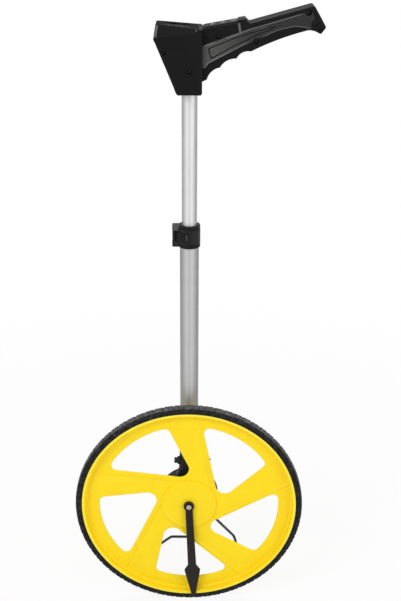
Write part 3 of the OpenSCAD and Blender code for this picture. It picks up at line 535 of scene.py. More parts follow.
class Graph:
    """A node tree, filled through one method that adds any node."""

    def __init__(self, tree: bpy.types.NodeTree) -> None:
        """Keeps the tree and empties it."""
        self.tree = tree
        tree.nodes.clear()

    def feed(self, socket: bpy.types.NodeSocket, value: Any) -> None:
        """Links a socket to another, or sets its value."""
        if isinstance(value, Sock):
            self.tree.links.new(value.socket, socket)
        elif isinstance(value, (tuple, list)) and len(socket.default_value) == len(value) + 1:
            socket.default_value = (*value, 1.0)
        else:
            socket.default_value = value

    def add(self, kind: str, settings: dict[str, Any] | None = None, inputs: dict[Any, Any] | None = None,
            out: int | str = 0) -> Sock:
        """Adds any node.

        Args:
            kind: the node's type, without the ShaderNode that all start with.
            settings: properties to set first.
            inputs: values or links by socket name or number.
            out: the output wanted.

        Returns:
            The wanted output; an empty one for a node that has none.
        """
        node = self.tree.nodes.new("ShaderNode" + kind)
        for key, value in (settings or {}).items():
            setattr(node, key, value)
        for key, value in (inputs or {}).items():
            self.feed(node.inputs[key], value)
        return Sock(self, node.outputs[out] if node.outputs else None)

    def coords(self, stretch: Rgb = (1.0, 1.0, 1.0)) -> Sock:
        """Object coordinates, stretched along the axes."""
        place = self.add("TexCoord", out="Object")
        return self.add("Mapping", {"vector_type": "POINT"}, {"Vector": place, "Scale": stretch})

    def along(self, axis: str) -> Sock:
        """The object coordinate along one axis, in metres."""
        return self.add("SeparateXYZ", None, {"Vector": self.coords()}, axis)

    def radius(self, height: float) -> Sock:
        """Distance in metres from an axis along Y at a height in millimetres."""
        flat = self.add("VectorMath", {"operation": "MULTIPLY"},
                        {0: self.coords(), 1: (1.0, 0.0, 1.0)})
        return self.add("VectorMath", {"operation": "DISTANCE"},
                        {0: flat, 1: (0.0, 0.0, height * MM)}, "Value")

    def noise(self, size: float, detail: float = 2.0, stretch: Rgb = (1.0, 1.0, 1.0)) -> Sock:
        """Noise whose blotches are about a size across, in millimetres."""
        return self.add("TexNoise", None,
                        {"Vector": self.coords(stretch), "Scale": 1 / (size * MM), "Detail": detail})

    def blend(self, mask: Any, first: Any, second: Any) -> Sock:
        """A mix of two colours by a mask."""
        return self.add("Mix", {"data_type": "RGBA"}, {0: mask, 6: first, 7: second}, 2)

    def edges(self, low: float = 0.51, high: float = 0.58) -> Sock:
        """A mask of the outer edges, where the surface is pointed."""
        return self.add("NewGeometry", out="Pointiness").smooth(low, high)

    def bump(self, height: Any, depth: float) -> Sock:
        """A bumped normal from a height field whose depth is in millimetres."""
        return self.add("Bump", None, {"Height": height, "Distance": depth * MM})

    def seen(self) -> Sock:
        """1 for rays from the camera, from gloss and through glass, otherwise 0."""
        eye, gloss, glass = (self.add("LightPath", out=f"Is {kind} Ray")
                             for kind in ("Camera", "Glossy", "Transmission"))
        return eye.larger(gloss.larger(glass))

    def shade(self, **values: Any) -> Sock:
        """A Principled shader; underscores in the names stand for spaces."""
        inputs = {name.replace("_", " "): value for name, value in values.items()}
        return self.add("BsdfPrincipled", None, inputs)


def srgb(red: int, green: int, blue: int) -> Rgb:
    """A screen colour of 0 to 255 as linear values."""
    value = np.array([red, green, blue]) / 255
    linear = np.where(value <= 0.04045, value / 12.92, ((value + 0.055) / 1.055) ** 2.4)
    return tuple(float(x) for x in linear)


@dataclass(frozen=True)
class Finish:
    """A finish that makes its own material from a colour, a second colour and a roughness."""

    name: str
    colour: Rgb
    second: Rgb
    roughness: float

    def paint(self, graph: Graph) -> Sock:
        """Fills the graph and gives its shader; each kind of finish has its own."""
        raise NotImplementedError

    @lru_cache(maxsize=None)
    def material(self) -> bpy.types.Material:
        """The finish's material, made once."""
        made = bpy.data.materials.new(self.name)
        made.use_nodes = True
        graph = Graph(made.node_tree)
        graph.add("OutputMaterial", None, {"Surface": self.paint(graph)})
        return made


@dataclass(frozen=True)
class Moulded(Finish):
    """Moulded plastic: fine spark texture, faint flow marks, a little wear on the edges.

    A painted sheen runs from the second colour to the first between two places along X, in millimetres: the
    part is painted paler towards one end, a painted highlight. A bevel highlight gives the part's middle
    along
    Y and the two distances from it between which the bevels are painted paler than the face, a painted
    highlight. A lip gives a wheel's axle height and the two radii between which its rim is painted paler, a
    painted highlight on the lip. The pale edges are real wear, and on the insert also a painted highlight.
    """

    grain: float = 0.35
    depth: float = 0.03
    gloss: float = 0.3
    wear_and_highlight: float = 0.3
    speck: float = 0.0
    highlight_and_wear_lift: float = 0.02
    painted_sheen: Edge = (0.0, 0.0)
    bevel_highlight: Point = (0.0, 0.0, 0.0)
    lip: Point = (0.0, 0.0, 0.0)

    def paint(self, graph: Graph) -> Sock:
        """Colour drifts along soft flow marks and specks, painted sheen and highlights make parts paler, and
        the texture breaks up the gloss.
        """
        flow_and_sheen = graph.noise(28.0, 3.0, (1.0, 1.0, 0.5)).smooth(0.35, 0.7)
        grain = graph.noise(self.grain, 1.0)
        smear = graph.noise(9.0, 4.0)
        pale = tuple(min(1.0, c * 1.6 + self.highlight_and_wear_lift) for c in self.colour)
        # Painted sheen: the colour runs paler towards one end along X, a painted highlight.
        if self.painted_sheen[1] > self.painted_sheen[0]:
            flow_and_sheen = graph.along("X").smooth(self.painted_sheen[1] * MM, self.painted_sheen[0] * MM) * 2
        colour = graph.blend(flow_and_sheen * 0.5, self.colour, self.second)
        if self.speck:
            colour = graph.blend(graph.noise(0.8, 2.0).smooth(0.5, 0.75) * self.speck, colour, pale)
        # Painted highlight: the bevels are painted paler than the face.
        if self.bevel_highlight[2]:
            middle, low, high = (value * MM for value in self.bevel_highlight)
            across = (graph.along("Y") - middle).size()
            painted_bevel_highlight = (1 - across.smooth(low, high)) * (flow_and_sheen * 0.25 + 0.5)
            colour = graph.blend(painted_bevel_highlight * self.wear_and_highlight, colour, pale)
        # Painted highlight: the rim's lip is painted paler.
        if self.lip[2]:
            rim = graph.radius(self.lip[0]).smooth(self.lip[1] * MM, self.lip[2] * MM)
            colour = graph.blend(rim * 0.4, colour, pale)
        # Pale pointed edges: real wear, and on the insert also a painted highlight on its bevels.
        worn_and_highlit = graph.blend(graph.edges() * smear * self.wear_and_highlight, colour, pale)
        rough = self.roughness + (smear - 0.5) * 0.16 + (grain - 0.5) * 0.1
        return graph.shade(Base_Color=worn_and_highlit, Roughness=rough, Specular_IOR_Level=self.gloss,
                           Normal=graph.bump(grain, self.depth))


@dataclass(frozen=True)
class Rubber(Finish):
    """Rubber: matte, with a powdery bloom and small pits. A tread is painted paler on its outer radius."""

    bloom: float = 0.5
    gloss: float = 0.25
    axle_z: float = 0.0
    tread_r: float = 0.0

    def paint(self, graph: Graph) -> Sock:
        """Bloom lies on raised edges and in patches, the tread's outer radius is painted paler, and pits are
        fine noise.
        """
        patch = graph.noise(6.0, 4.0).smooth(0.4, 0.75)
        pits = graph.noise(0.5, 2.0)
        bloom_and_pale_tread = (patch * 0.6 + graph.edges(0.5, 0.56) * 0.5) * self.bloom
        # The tread's outer radius is painted paler all round.
        if self.tread_r:
            tread_zone = graph.radius(self.axle_z).smooth((self.tread_r - 1.6) * MM, self.tread_r * MM)
            bloom_and_pale_tread = bloom_and_pale_tread * 0.3 + tread_zone * (patch * 0.5 + 0.5) * self.bloom
        colour = graph.blend(bloom_and_pale_tread, self.colour, self.second)
        return graph.shade(Base_Color=colour, Roughness=self.roughness + (pits - 0.5) * 0.2,
                           Specular_IOR_Level=self.gloss, Normal=graph.bump(pits, 0.05))


@dataclass(frozen=True)
class Metal(Finish):
    """Metal with fine lines drawn along one axis and a light haze.

    For a drawn tube, whose band is its radius in millimetres, the base colour is painted darker at both
    sides and along a thin line down its middle: painted shade and reflection of the round wall.
    """

    stretch: Rgb = (1.0, 1.0, 0.01)
    metallic: float = 1.0
    line: float = 0.25
    band: float = 0.0

    def paint(self, graph: Graph) -> Sock:
        """Lines are noise stretched along the drawing direction; haze is coarse noise; a band adds painted
        shade and reflection across a tube.
        """
        lines = graph.noise(self.line, 2.0, self.stretch)
        haze = graph.noise(24.0, 3.0).smooth(0.3, 0.75)
        lines_haze_and_painted_shade = lines * 0.5 + haze * 0.3
        # Painted shade: the base colour darkens towards the tube's sides and in a thin middle line, as a
        # round metal wall reflects.
        if self.band:
            side = graph.along("X").size()
            edge = self.band * MM
            middle = 1 - side.smooth(0.05 * edge, 0.22 * edge)
            lines_haze_and_painted_shade = lines_haze_and_painted_shade * 0.2 + side.smooth(0.25 * edge, edge) * 0.8 + middle * 0.2
        colour = graph.blend(lines_haze_and_painted_shade, self.colour, self.second)
        rough = self.roughness + (lines - 0.5) * 0.18 + haze * 0.06
        return graph.shade(Base_Color=colour, Roughness=rough, Metallic=self.metallic,
                           Normal=graph.bump(lines, 0.006))


@dataclass(frozen=True)
class Clear(Finish):
    """A smoked window with faint rubbed marks."""

    alpha: float = 0.16
    gloss: float = 0.3

    def paint(self, graph: Graph) -> Sock:
        """Marks change the gloss and the tint a little."""
        marks = graph.noise(3.0, 5.0, (1.0, 0.2, 1.0)).smooth(0.55, 0.8)
        tint = graph.blend(marks * 0.3, self.colour, self.second)
        return graph.shade(Base_Color=tint, Roughness=self.roughness + marks * 0.12, Alpha=self.alpha,
                           Specular_IOR_Level=self.gloss)


@dataclass(frozen=True)
class Board(Finish):
    """A circuit board: solder mask with traces in a block pattern."""

    def paint(self, graph: Graph) -> Sock:
        """Traces follow the cell edges of a Chebyshev Voronoi pattern."""
        cells = graph.add("TexVoronoi", {"distance": "CHEBYCHEV", "feature": "F1"},
                          {"Vector": graph.coords(), "Scale": 1 / (3.0 * MM)})
        trace = cells.smooth(0.38, 0.44)
        colour = graph.blend(trace, self.colour, self.second)
        return graph.shade(Base_Color=colour, Roughness=self.roughness - trace * 0.1,
                           Normal=graph.bump(trace, 0.05))


# Height of the wheel's axle, where its finishes have their middle
AXLE_Z = 159.155


class Paint(Enum):
    """The finishes of the object's own pieces."""

    TYRE = Rubber(
        "tyre_rubber", srgb(21, 21, 22), srgb(116, 116, 115), 0.75, bloom=0.8, gloss=0.15, axle_z=AXLE_Z,
        tread_r=159.0)
    # The rim's lip is painted paler: a painted highlight.
    YELLOW = Moulded(
        "wheel_yellow", srgb(253, 222, 22), srgb(251, 214, 16), 0.45, grain=0.5, depth=0.012, gloss=0.22,
        wear_and_highlight=0.1, highlight_and_wear_lift=0.16, lip=(AXLE_Z, 147.0, 148.6))
    COVER = Moulded(
        "hub_cover_yellow", srgb(253, 222, 26), srgb(251, 216, 18), 0.45, grain=0.5, depth=0.012, gloss=0.22,
        wear_and_highlight=0.1)
    POINTER = Moulded(
        "pointer_black", srgb(31, 27, 25), srgb(24, 21, 20), 0.5, grain=0.3, depth=0.02, gloss=0.2, wear_and_highlight=0.3)
    HOUSING = Moulded(
        "housing_black", srgb(24, 24, 25), srgb(19, 19, 20), 0.55, grain=0.4, depth=0.03, gloss=0.15,
        wear_and_highlight=0.3)
    HANDLE = Moulded(
        "handle_black", srgb(20, 20, 21), srgb(16, 16, 17), 0.55, grain=0.4, depth=0.03, gloss=0.07,
        wear_and_highlight=0.2, speck=0.4)
    BEZEL = Moulded(
        "bezel_grey", srgb(33, 33, 34), srgb(30, 30, 31), 0.75, grain=0.4, depth=0.025, gloss=0.02, wear_and_highlight=0.1,
        speck=0.1)
    TRIM = Moulded(
        "trim_grey", srgb(40, 39, 40), srgb(35, 34, 35), 0.5, grain=0.4, depth=0.02, gloss=0.04, wear_and_highlight=0.4)
    RIB = Moulded(
        "rib_grey", srgb(92, 92, 92), srgb(82, 82, 82), 0.45, grain=0.4, depth=0.02, gloss=0.1, wear_and_highlight=0.4)
    LUG = Moulded(
        "lug_grey", srgb(76, 76, 77), srgb(66, 66, 67), 0.5, grain=0.4, depth=0.025, gloss=0.1, wear_and_highlight=0.4)
    CLAMP = Moulded(
        "clamp_black", srgb(19, 19, 20), srgb(15, 15, 16), 0.45, grain=0.4, depth=0.025, gloss=0.12,
        wear_and_highlight=0.5, speck=0.2, highlight_and_wear_lift=0.04)
    LINER = Moulded("liner_grey", srgb(40, 40, 41), srgb(32, 32, 33), 0.5)
    BUSH = Moulded("bush_white", srgb(222, 220, 214), srgb(208, 206, 200), 0.45)
    CELL = Moulded("cell_cover", srgb(168, 126, 52), srgb(148, 108, 40), 0.3)
    # The insert's paler left end and its paler bevels and edges are painted sheen and highlight.
    INSERT = Moulded(
        "insert_grey", srgb(44, 44, 44), srgb(80, 80, 79), 0.45, grain=0.5, depth=0.03, gloss=0.1, wear_and_highlight=0.8,
        speck=0.1, highlight_and_wear_lift=0.2, painted_sheen=(18.0, 84.0), bevel_highlight=(27.55, 16.7, 16.985))
    KEY_DARK = Rubber("key_dark", srgb(44, 44, 46), srgb(70, 70, 71), 0.6, bloom=0.3)
    KEY_GREY = Rubber("key_grey", srgb(66, 66, 68), srgb(96, 96, 97), 0.6, bloom=0.3)
    # The tubes' second colours are the painted shade at their sides and middle line.
    TUBE_UPPER = Metal("tube_upper", srgb(228, 228, 229), srgb(140, 140, 142), 0.42, metallic=0.5, band=9.6)
    TUBE_LOWER = Metal("tube_lower", srgb(196, 196, 196), srgb(134, 133, 134), 0.45, metallic=0.5, band=11.6)
    STEEL = Metal("steel", srgb(172, 173, 176), srgb(130, 131, 134), 0.34, stretch=(0.05, 1.0, 1.0))
    BRIGHT = Metal(
        "bright_metal", srgb(194, 186, 174), srgb(160, 152, 142), 0.32, stretch=(0.1, 1.0, 1.0),
        metallic=0.9)
    MAGNET = Metal("magnet_metal", srgb(150, 150, 154), srgb(112, 112, 116), 0.3, stretch=(1.0, 0.05, 1.0))
    BOLT = Metal(
        "bolt_metal", srgb(46, 45, 46), srgb(30, 30, 30), 0.45, stretch=(0.05, 1.0, 1.0), metallic=0.6)
    WIRE = Metal(
        "wire_dark", srgb(30, 30, 31), srgb(20, 20, 21), 0.5, stretch=(1.0, 1.0, 0.3), metallic=0.3,
        line=0.8)
    GLASS = Clear("window_clear", srgb(22, 23, 24), srgb(32, 33, 34), 0.25, alpha=0.35, gloss=0.03)
    LCD = Moulded(
        "lcd_green", srgb(106, 116, 96), srgb(98, 108, 88), 0.5, grain=0.2, depth=0.004, gloss=0.05,
        wear_and_highlight=0.0)
    INK = Moulded(
        "lcd_segments", srgb(16, 18, 16), srgb(13, 15, 13), 0.5, grain=0.2, depth=0.004, gloss=0.05,
        wear_and_highlight=0.0)
    MARK = Moulded(
        "key_marks", srgb(206, 206, 204), srgb(196, 196, 194), 0.5, grain=0.2, depth=0.004, gloss=0.1,
        wear_and_highlight=0.1)
    BOARD = Board("board_green", srgb(22, 74, 42), srgb(38, 104, 58), 0.45)

    def material(self) -> bpy.types.Material:
        """The finish's material."""
        return self.value.material()


class Mark(Enum):
    """The signs on the keys, with the CAD node and the finish of each key.

    They are an open ring with a bar, a pair of bars, and a ring.
    """

    POWER = ("key_power", Paint.KEY_DARK)
    UNIT = ("key_unit", Paint.KEY_GREY)
    RESET = ("key_reset", Paint.KEY_GREY)


def span(node: str) -> tuple[Array, Array]:
    """A CAD node's lowest and highest corner, in millimetres."""
    low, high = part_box(node)
    return np.array(low) / MM, np.array(high) / MM


def middle_of(node: str) -> Array:
    """A CAD node's middle, in millimetres."""
    low, high = span(node)
    return (low + high) / 2


def joint_at(name: str) -> Array:
    """A joint's place, in millimetres."""
    return np.array(next(j for j in frame["joints"] if j["name"] == name)["pos_m"]) / MM


def make_piece(
    name: str,
    surface: Surface,
    body: str,
    paint: Paint,
    replaces: Sequence[str] = (),
    slot: str = "",
    sharp: float = 32.0,
) -> None:
    """Makes one finished piece of the object.

    Args:
        name: the piece's name.
        surface: its surface, in millimetres in the row's frame.
        body: the CAD body that it moves with.
        paint: its finish.
        replaces: CAD nodes that it stands for.
        slot: the record's material slot, where it hasn't the finish's own name; not used.
        sharp: edges sharper than this angle, in degrees, stay crisp.
    """
    slot = slot or paint.value.name
    mesh = bpy.data.meshes.new(name)
    faces = [face for part in surface.faces for face in part.tolist()]
    mesh.from_pydata((surface.verts * MM).tolist(), [], faces)
    shaped = bmesh.new()
    shaped.from_mesh(mesh)
    bmesh.ops.remove_doubles(shaped, verts=shaped.verts, dist=2e-6)
    bmesh.ops.dissolve_degenerate(shaped, edges=shaped.edges, dist=1e-7)
    bmesh.ops.recalc_face_normals(shaped, faces=shaped.faces)
    shaped.to_mesh(mesh)
    shaped.free()
    mesh.shade_smooth()
    mesh.set_sharp_from_angle(angle=math.radians(sharp))
    mesh.materials.append(paint.material())
    piece = bpy.data.objects.new(name, mesh)
    bpy.context.scene.collection.objects.link(piece)
    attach(piece, body)
    if replaces:
        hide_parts(*replaces)
    log.info("%s: %d faces on %s", name, len(mesh.polygons), body)


def dress(paint: Paint, *nodes: str) -> None:
    """Gives carried-over CAD nodes a finish."""
    for node in nodes:
        materials = frame["nodes"][node].data.materials
        materials.clear()
        materials.append(paint.material())
        log.info("%s: dressed as %s", node, paint.name.lower())


# Sub-assemblies

@dataclass
class Wheel:
    """Spoked rim, tyre and hub cover. The rim's front is open down to the spoke disc."""

    spokes: int = 5
    tread_blocks: int = 72
    tread_gap: float = 2.0
    tread_depth: float = 1.0
    sipe_gap: float = 1.1
    sipe_depth: float = 0.5
    tread_steps: int = 16
    tread_edge: float = 0.4
    tread_reach: Edge = (3.0, 0.9)
    key_h: float = 1.4
    key_share: float = 0.3
    rim_wall: float = 4.5
    lip_r: float = 1.6
    disc_front: float = 2.5
    disc_back: float = 6.0
    overlap: float = 0.5
    window_r: float = 126.155
    window_point_r: float = 42.4
    window_point_angle: float = 78.1
    window_edges: Edge = (114.9, 173.1)
    window_point_round: float = 13.0
    window_corner_round: float = 8.0
    window_bevel: float = 1.4
    rib_w: float = 4.0
    rib_h: float = 1.1
    rib_flat: float = 0.1
    rib_offset: float = 3.0
    rib_tuck: float = 0.3
    barrel_r: float = 16.0
    barrel_edge: float = 0.8
    bush_r: float = 7.05
    cover_hole_r: float = 5.0
    cover_wall: float = 2.0
    cover_round: float = 2.2

    def __post_init__(self) -> None:
        """Reads the wheel's place and main sizes from the frame."""
        low, high = span("tyre")
        self.axle_z = middle_of("tyre")[2]
        self.tyre_r = (high[0] - low[0]) / 2
        self.front, self.back = low[1], high[1]
        self.rim_r, self.barrel_back = span("wheel_rim")[1][:2]
        self.inner_r = self.rim_r - self.rim_wall
        self.cover_face, self.cover_r = span("hub_cover")[0][1], span("hub_cover")[1][0]
        self.point = self.window_point_r * heading(self.window_point_angle)

    @staticmethod
    def reach(points: Array, way: Array, radius: float) -> Array:
        """Where rays from points meet a circle round the axle.

        With b the product of a point and its way, the distance along the ray is the root of b squared minus
        the point squared plus the radius squared, less b.
        """
        b = (points * way).sum(1)
        far = np.sqrt(np.maximum(b ** 2 - (points ** 2).sum(1) + radius ** 2, 0)) - b
        return points + way * far[:, None]

    def window(self) -> Array:
        """A window's outline: two straight edges from a point near the hub, and an arc under the rim.

        The arc stops short of the edges, so that its corners have room for their rounding.
        """
        ways = arc(np.radians(self.window_edges), 1.0)
        ends = self.reach(np.stack([self.point] * 2), ways, self.window_r)
        bow = arc(np.linspace(*np.arctan2(ends[:, 1], ends[:, 0]), 19)[2:-2], self.window_r)
        corners = np.vstack([self.point, ends[:1], bow, ends[1:]])
        corner = self.window_corner_round
        radii = np.concatenate([[self.window_point_round, corner], np.zeros(len(bow)), [corner]])
        return fillet(corners, radii, steps=10)

    def rib(self) -> Array:
        """The outline of the crease beside a window, from the hub cover to the rim."""
        way = heading(self.window_edges[1])
        side = np.array([-way[1], way[0]])
        rails = self.point + side * np.array([[self.rib_offset], [self.rib_offset + self.rib_w]])
        near = self.reach(rails, way, self.cover_r - self.overlap)
        far = self.reach(rails, way, self.inner_r + self.rib_tuck)
        return np.vstack([near[0], far[0], far[1], near[1]])

    def build_rim(self) -> None:
        """The rim ring, the spoke disc with its rounded windows, the creases and the hub barrel.

        The ring's profile goes from its front lip over the tyre's seat to its back, and slopes in to the
        disc.
        """
        inner, front, back = self.inner_r, self.disc_front, self.disc_back
        profile = fillet([
            [inner, self.front], [self.rim_r, self.front], [self.rim_r, self.back], [inner, self.back],
            [inner - 1.5, back], [inner - 3.0, front], [inner - 0.6, front - 2.0]],
            [self.lip_r, 0.6, 0.6, 0.5, 0.2, 0.5, 1.0], steps=5)
        turns = [i * 360 / self.spokes for i in range(self.spokes)]
        holes = [turned(self.window(), turn) for turn in turns] + [circle(self.bush_r)]
        outside = circle(inner + self.overlap, steps=WHEEL_STEPS)
        web = plate(outside, front, back, SLIGHT, SLIGHT, holes, self.window_bevel)
        crest = ((self.rib_w - self.rib_flat) / 2, self.rib_h)
        ribs = [plate(turned(self.rib(), turn), front - self.rib_h, front + self.overlap, crest, CRISP)
                for turn in turns]
        barrel = ring(self.bush_r, self.barrel_r, front - self.overlap, self.barrel_back, self.barrel_edge)
        whole = total([revolve(profile, WHEEL_STEPS), web, barrel] + ribs)
        make_piece("wheel_spokes", whole.round_axle(self.axle_z), "wheel", Paint.YELLOW, ["wheel_rim"])

    def build_tyre(self) -> None:
        """The tyre: a rounded section turned round the axle, with cross grooves and sipes in its tread.

        The section goes from the front bead and its step over the tread to the back bead, and round the key
        that sits in the rim. The radius falls by the groove's depth where the angle is near a groove and the
        section is on the tread.
        """
        key, groove = self.key_h, (self.back - self.front) * self.key_share
        r, f, b, rim = self.tyre_r, self.front, self.back, self.rim_r
        section = fillet([
            [rim, f + 0.1], [rim + 2.0, f + 0.1], [rim + 2.4, f + 0.5], [rim + 3.0, f + 0.5], [rim + 3.4, f],
            [r - 2.4, f], [r - 0.3, f + 1.4], [r, f + 3.2], [r, 0],
            [r, b - 3.2], [r - 0.3, b - 1.4], [r - 2.4, b],
            [rim, b - 0.1], [rim, groove], [rim - key, groove], [rim - key, -groove], [rim, -groove]],
            [0.3, 0.2, 0.1, 0.1, 0.2, 1.2, 1.2, 1.5, 0, 1.5, 1.2, 1.2, 0.5, 0.2, 0.2, 0.2, 0.2], steps=4)
        turn = np.arange(self.tread_blocks * self.tread_steps) / self.tread_steps
        pitch = 2 * np.pi * r / self.tread_blocks
        edge = self.tread_edge
        sunk = np.zeros(len(turn))
        cuts = ((0.5, self.tread_gap, self.tread_depth), (0.0, self.sipe_gap, self.sipe_depth))
        for offset, gap, depth in cuts:
            away = np.abs((turn + offset) % 1.0 - 0.5) * pitch
            sunk += depth * (1 - smoothstep(away, gap / 2 - edge, gap / 2 + edge))
        low, high = self.tread_reach
        on_tread = smoothstep(section[:, 0], r - low, r - high)
        radius = section[None, :, 0] - sunk[:, None] * on_tread[None]
        angle = -np.pi / 2 + (turn + 0.5) * 2 * np.pi / self.tread_blocks
        made = swept(radius, section[None, :, 1], angle[:, None], True)
        make_piece("tyre_tread", made.round_axle(self.axle_z), "wheel", Paint.TYRE, ["tyre"], sharp=28.0)

    def build_cover(self) -> None:
        """The hub cover: a shallow cup with a soft rim and a hole for the axle."""
        face, wall, hole = self.cover_face, self.cover_wall, self.cover_hole_r
        inner = self.cover_r - wall
        profile = fillet([
            [hole, face], [self.cover_r, face], [self.cover_r, self.disc_front], [inner, self.disc_front],
            [inner, face + wall], [hole, face + wall]], [0.4, self.cover_round, 0.1, 0.1, 0.1, 0.3], steps=8)
        made = revolve(profile, ROUND_STEPS).round_axle(self.axle_z)
        make_piece("hub_cover_shell", made, "wheel", Paint.COVER, ["hub_cover"])

    def build(self) -> None:
        """Builds the wheel and dresses its inner CAD nodes."""
        self.build_rim()
        self.build_tyre()
        self.build_cover()
        dress(Paint.BUSH, "front_bush", "rear_bush")
        dress(Paint.MAGNET, "encoder_magnets")


@dataclass
class Pointer:
    """The pointer that hangs on the axle's end, and its screw."""

    lean: float = 2.75
    tip: float = 2.12
    boss_r: float = 7.4
    boss_len: float = 3.2
    boss_edge: float = 0.7
    bore_r: float = 3.05
    blade_t: float = 2.6
    blade_edge: Edge = (0.9, 0.8)
    top_w: float = 10.0
    low_w: float = 12.0
    arrow_w: float = 23.0
    arrow_len: float = 47.0
    arrow_neck: float = 8.0
    tip_w: float = 4.5
    ground_gap: float = 6.0
    pin_r: float = 1.5
    cap_h: float = 1.4
    cap_edge: Edge = (1.2, 0.6)
    slot_w: float = 1.1
    slot_share: float = 1.3
    slot_depth: float = 0.6
    overlap: float = 0.2

    def __post_init__(self) -> None:
        """Reads the pointer's place from the frame."""
        self.axle_z = middle_of("axle")[2]
        self.back = span("pointer")[1][1]
        self.front = self.back - self.boss_len
        self.cap_front, self.pin_end = span("pointer_screw")[0][1], span("pointer_screw")[1][1]
        self.cap_r = span("pointer_screw")[1][0]

    def outline(self) -> Array:
        """The blade and its arrow head, hanging down from the axle."""
        length = self.axle_z - self.ground_gap
        shoulder = length - self.arrow_len
        half = np.array([
            [self.tip_w / 2, -length], [self.arrow_w / 2, -shoulder],
            [self.low_w / 2, -(shoulder - self.arrow_neck)], [self.top_w / 2, -self.bore_r - 0.4]])
        corners = np.vstack([half, half[::-1] * [-1, 1]])
        return fillet(corners, [1.6, 2.5, 3.0, 0.3, 0.3, 3.0, 2.5, 1.6])

    def build_arm(self) -> None:
        """The boss and the blade, which tips forward from it and leans a little to one side."""
        blade = Place.tipped((0, 0, self.front), self.tip).put(
            plate(self.outline(), 0.0, self.blade_t, self.blade_edge))
        boss = ring(self.bore_r, self.boss_r, self.front, self.back, self.boss_edge)
        hung = total([blade, boss])
        hung.verts[:, :2] = turned(hung.verts[:, :2], self.lean)
        made = hung.round_axle(self.axle_z)
        make_piece("pointer_arm", made, "pointer", Paint.POINTER, ["pointer"])

    def build_screw(self) -> None:
        """The screw: a head with a slot, the floor under the slot, and a shank."""
        r, face = self.cap_r, self.cap_front
        floor, under = face + self.slot_depth, face + self.cap_h
        slot = rounded_box(self.slot_w, r * self.slot_share, 0.5, steps=3)
        outside, foot = circle(r, steps=64), floor + self.overlap
        head = plate(outside, face, foot, self.cap_edge, (0.0, HAIR), [slot], 0.15)
        base = disc(r, floor, under, HAIR, CRISP)
        shank = disc(self.pin_r, under - self.overlap, self.pin_end)
        screw = total([head, base, shank]).round_axle(self.axle_z)
        make_piece("pointer_cap_screw", screw, "frame", Paint.BRIGHT, ["pointer_screw"])

    def build(self) -> None:
        """Builds the pointer and its screw."""
        self.build_arm()
        self.build_screw()


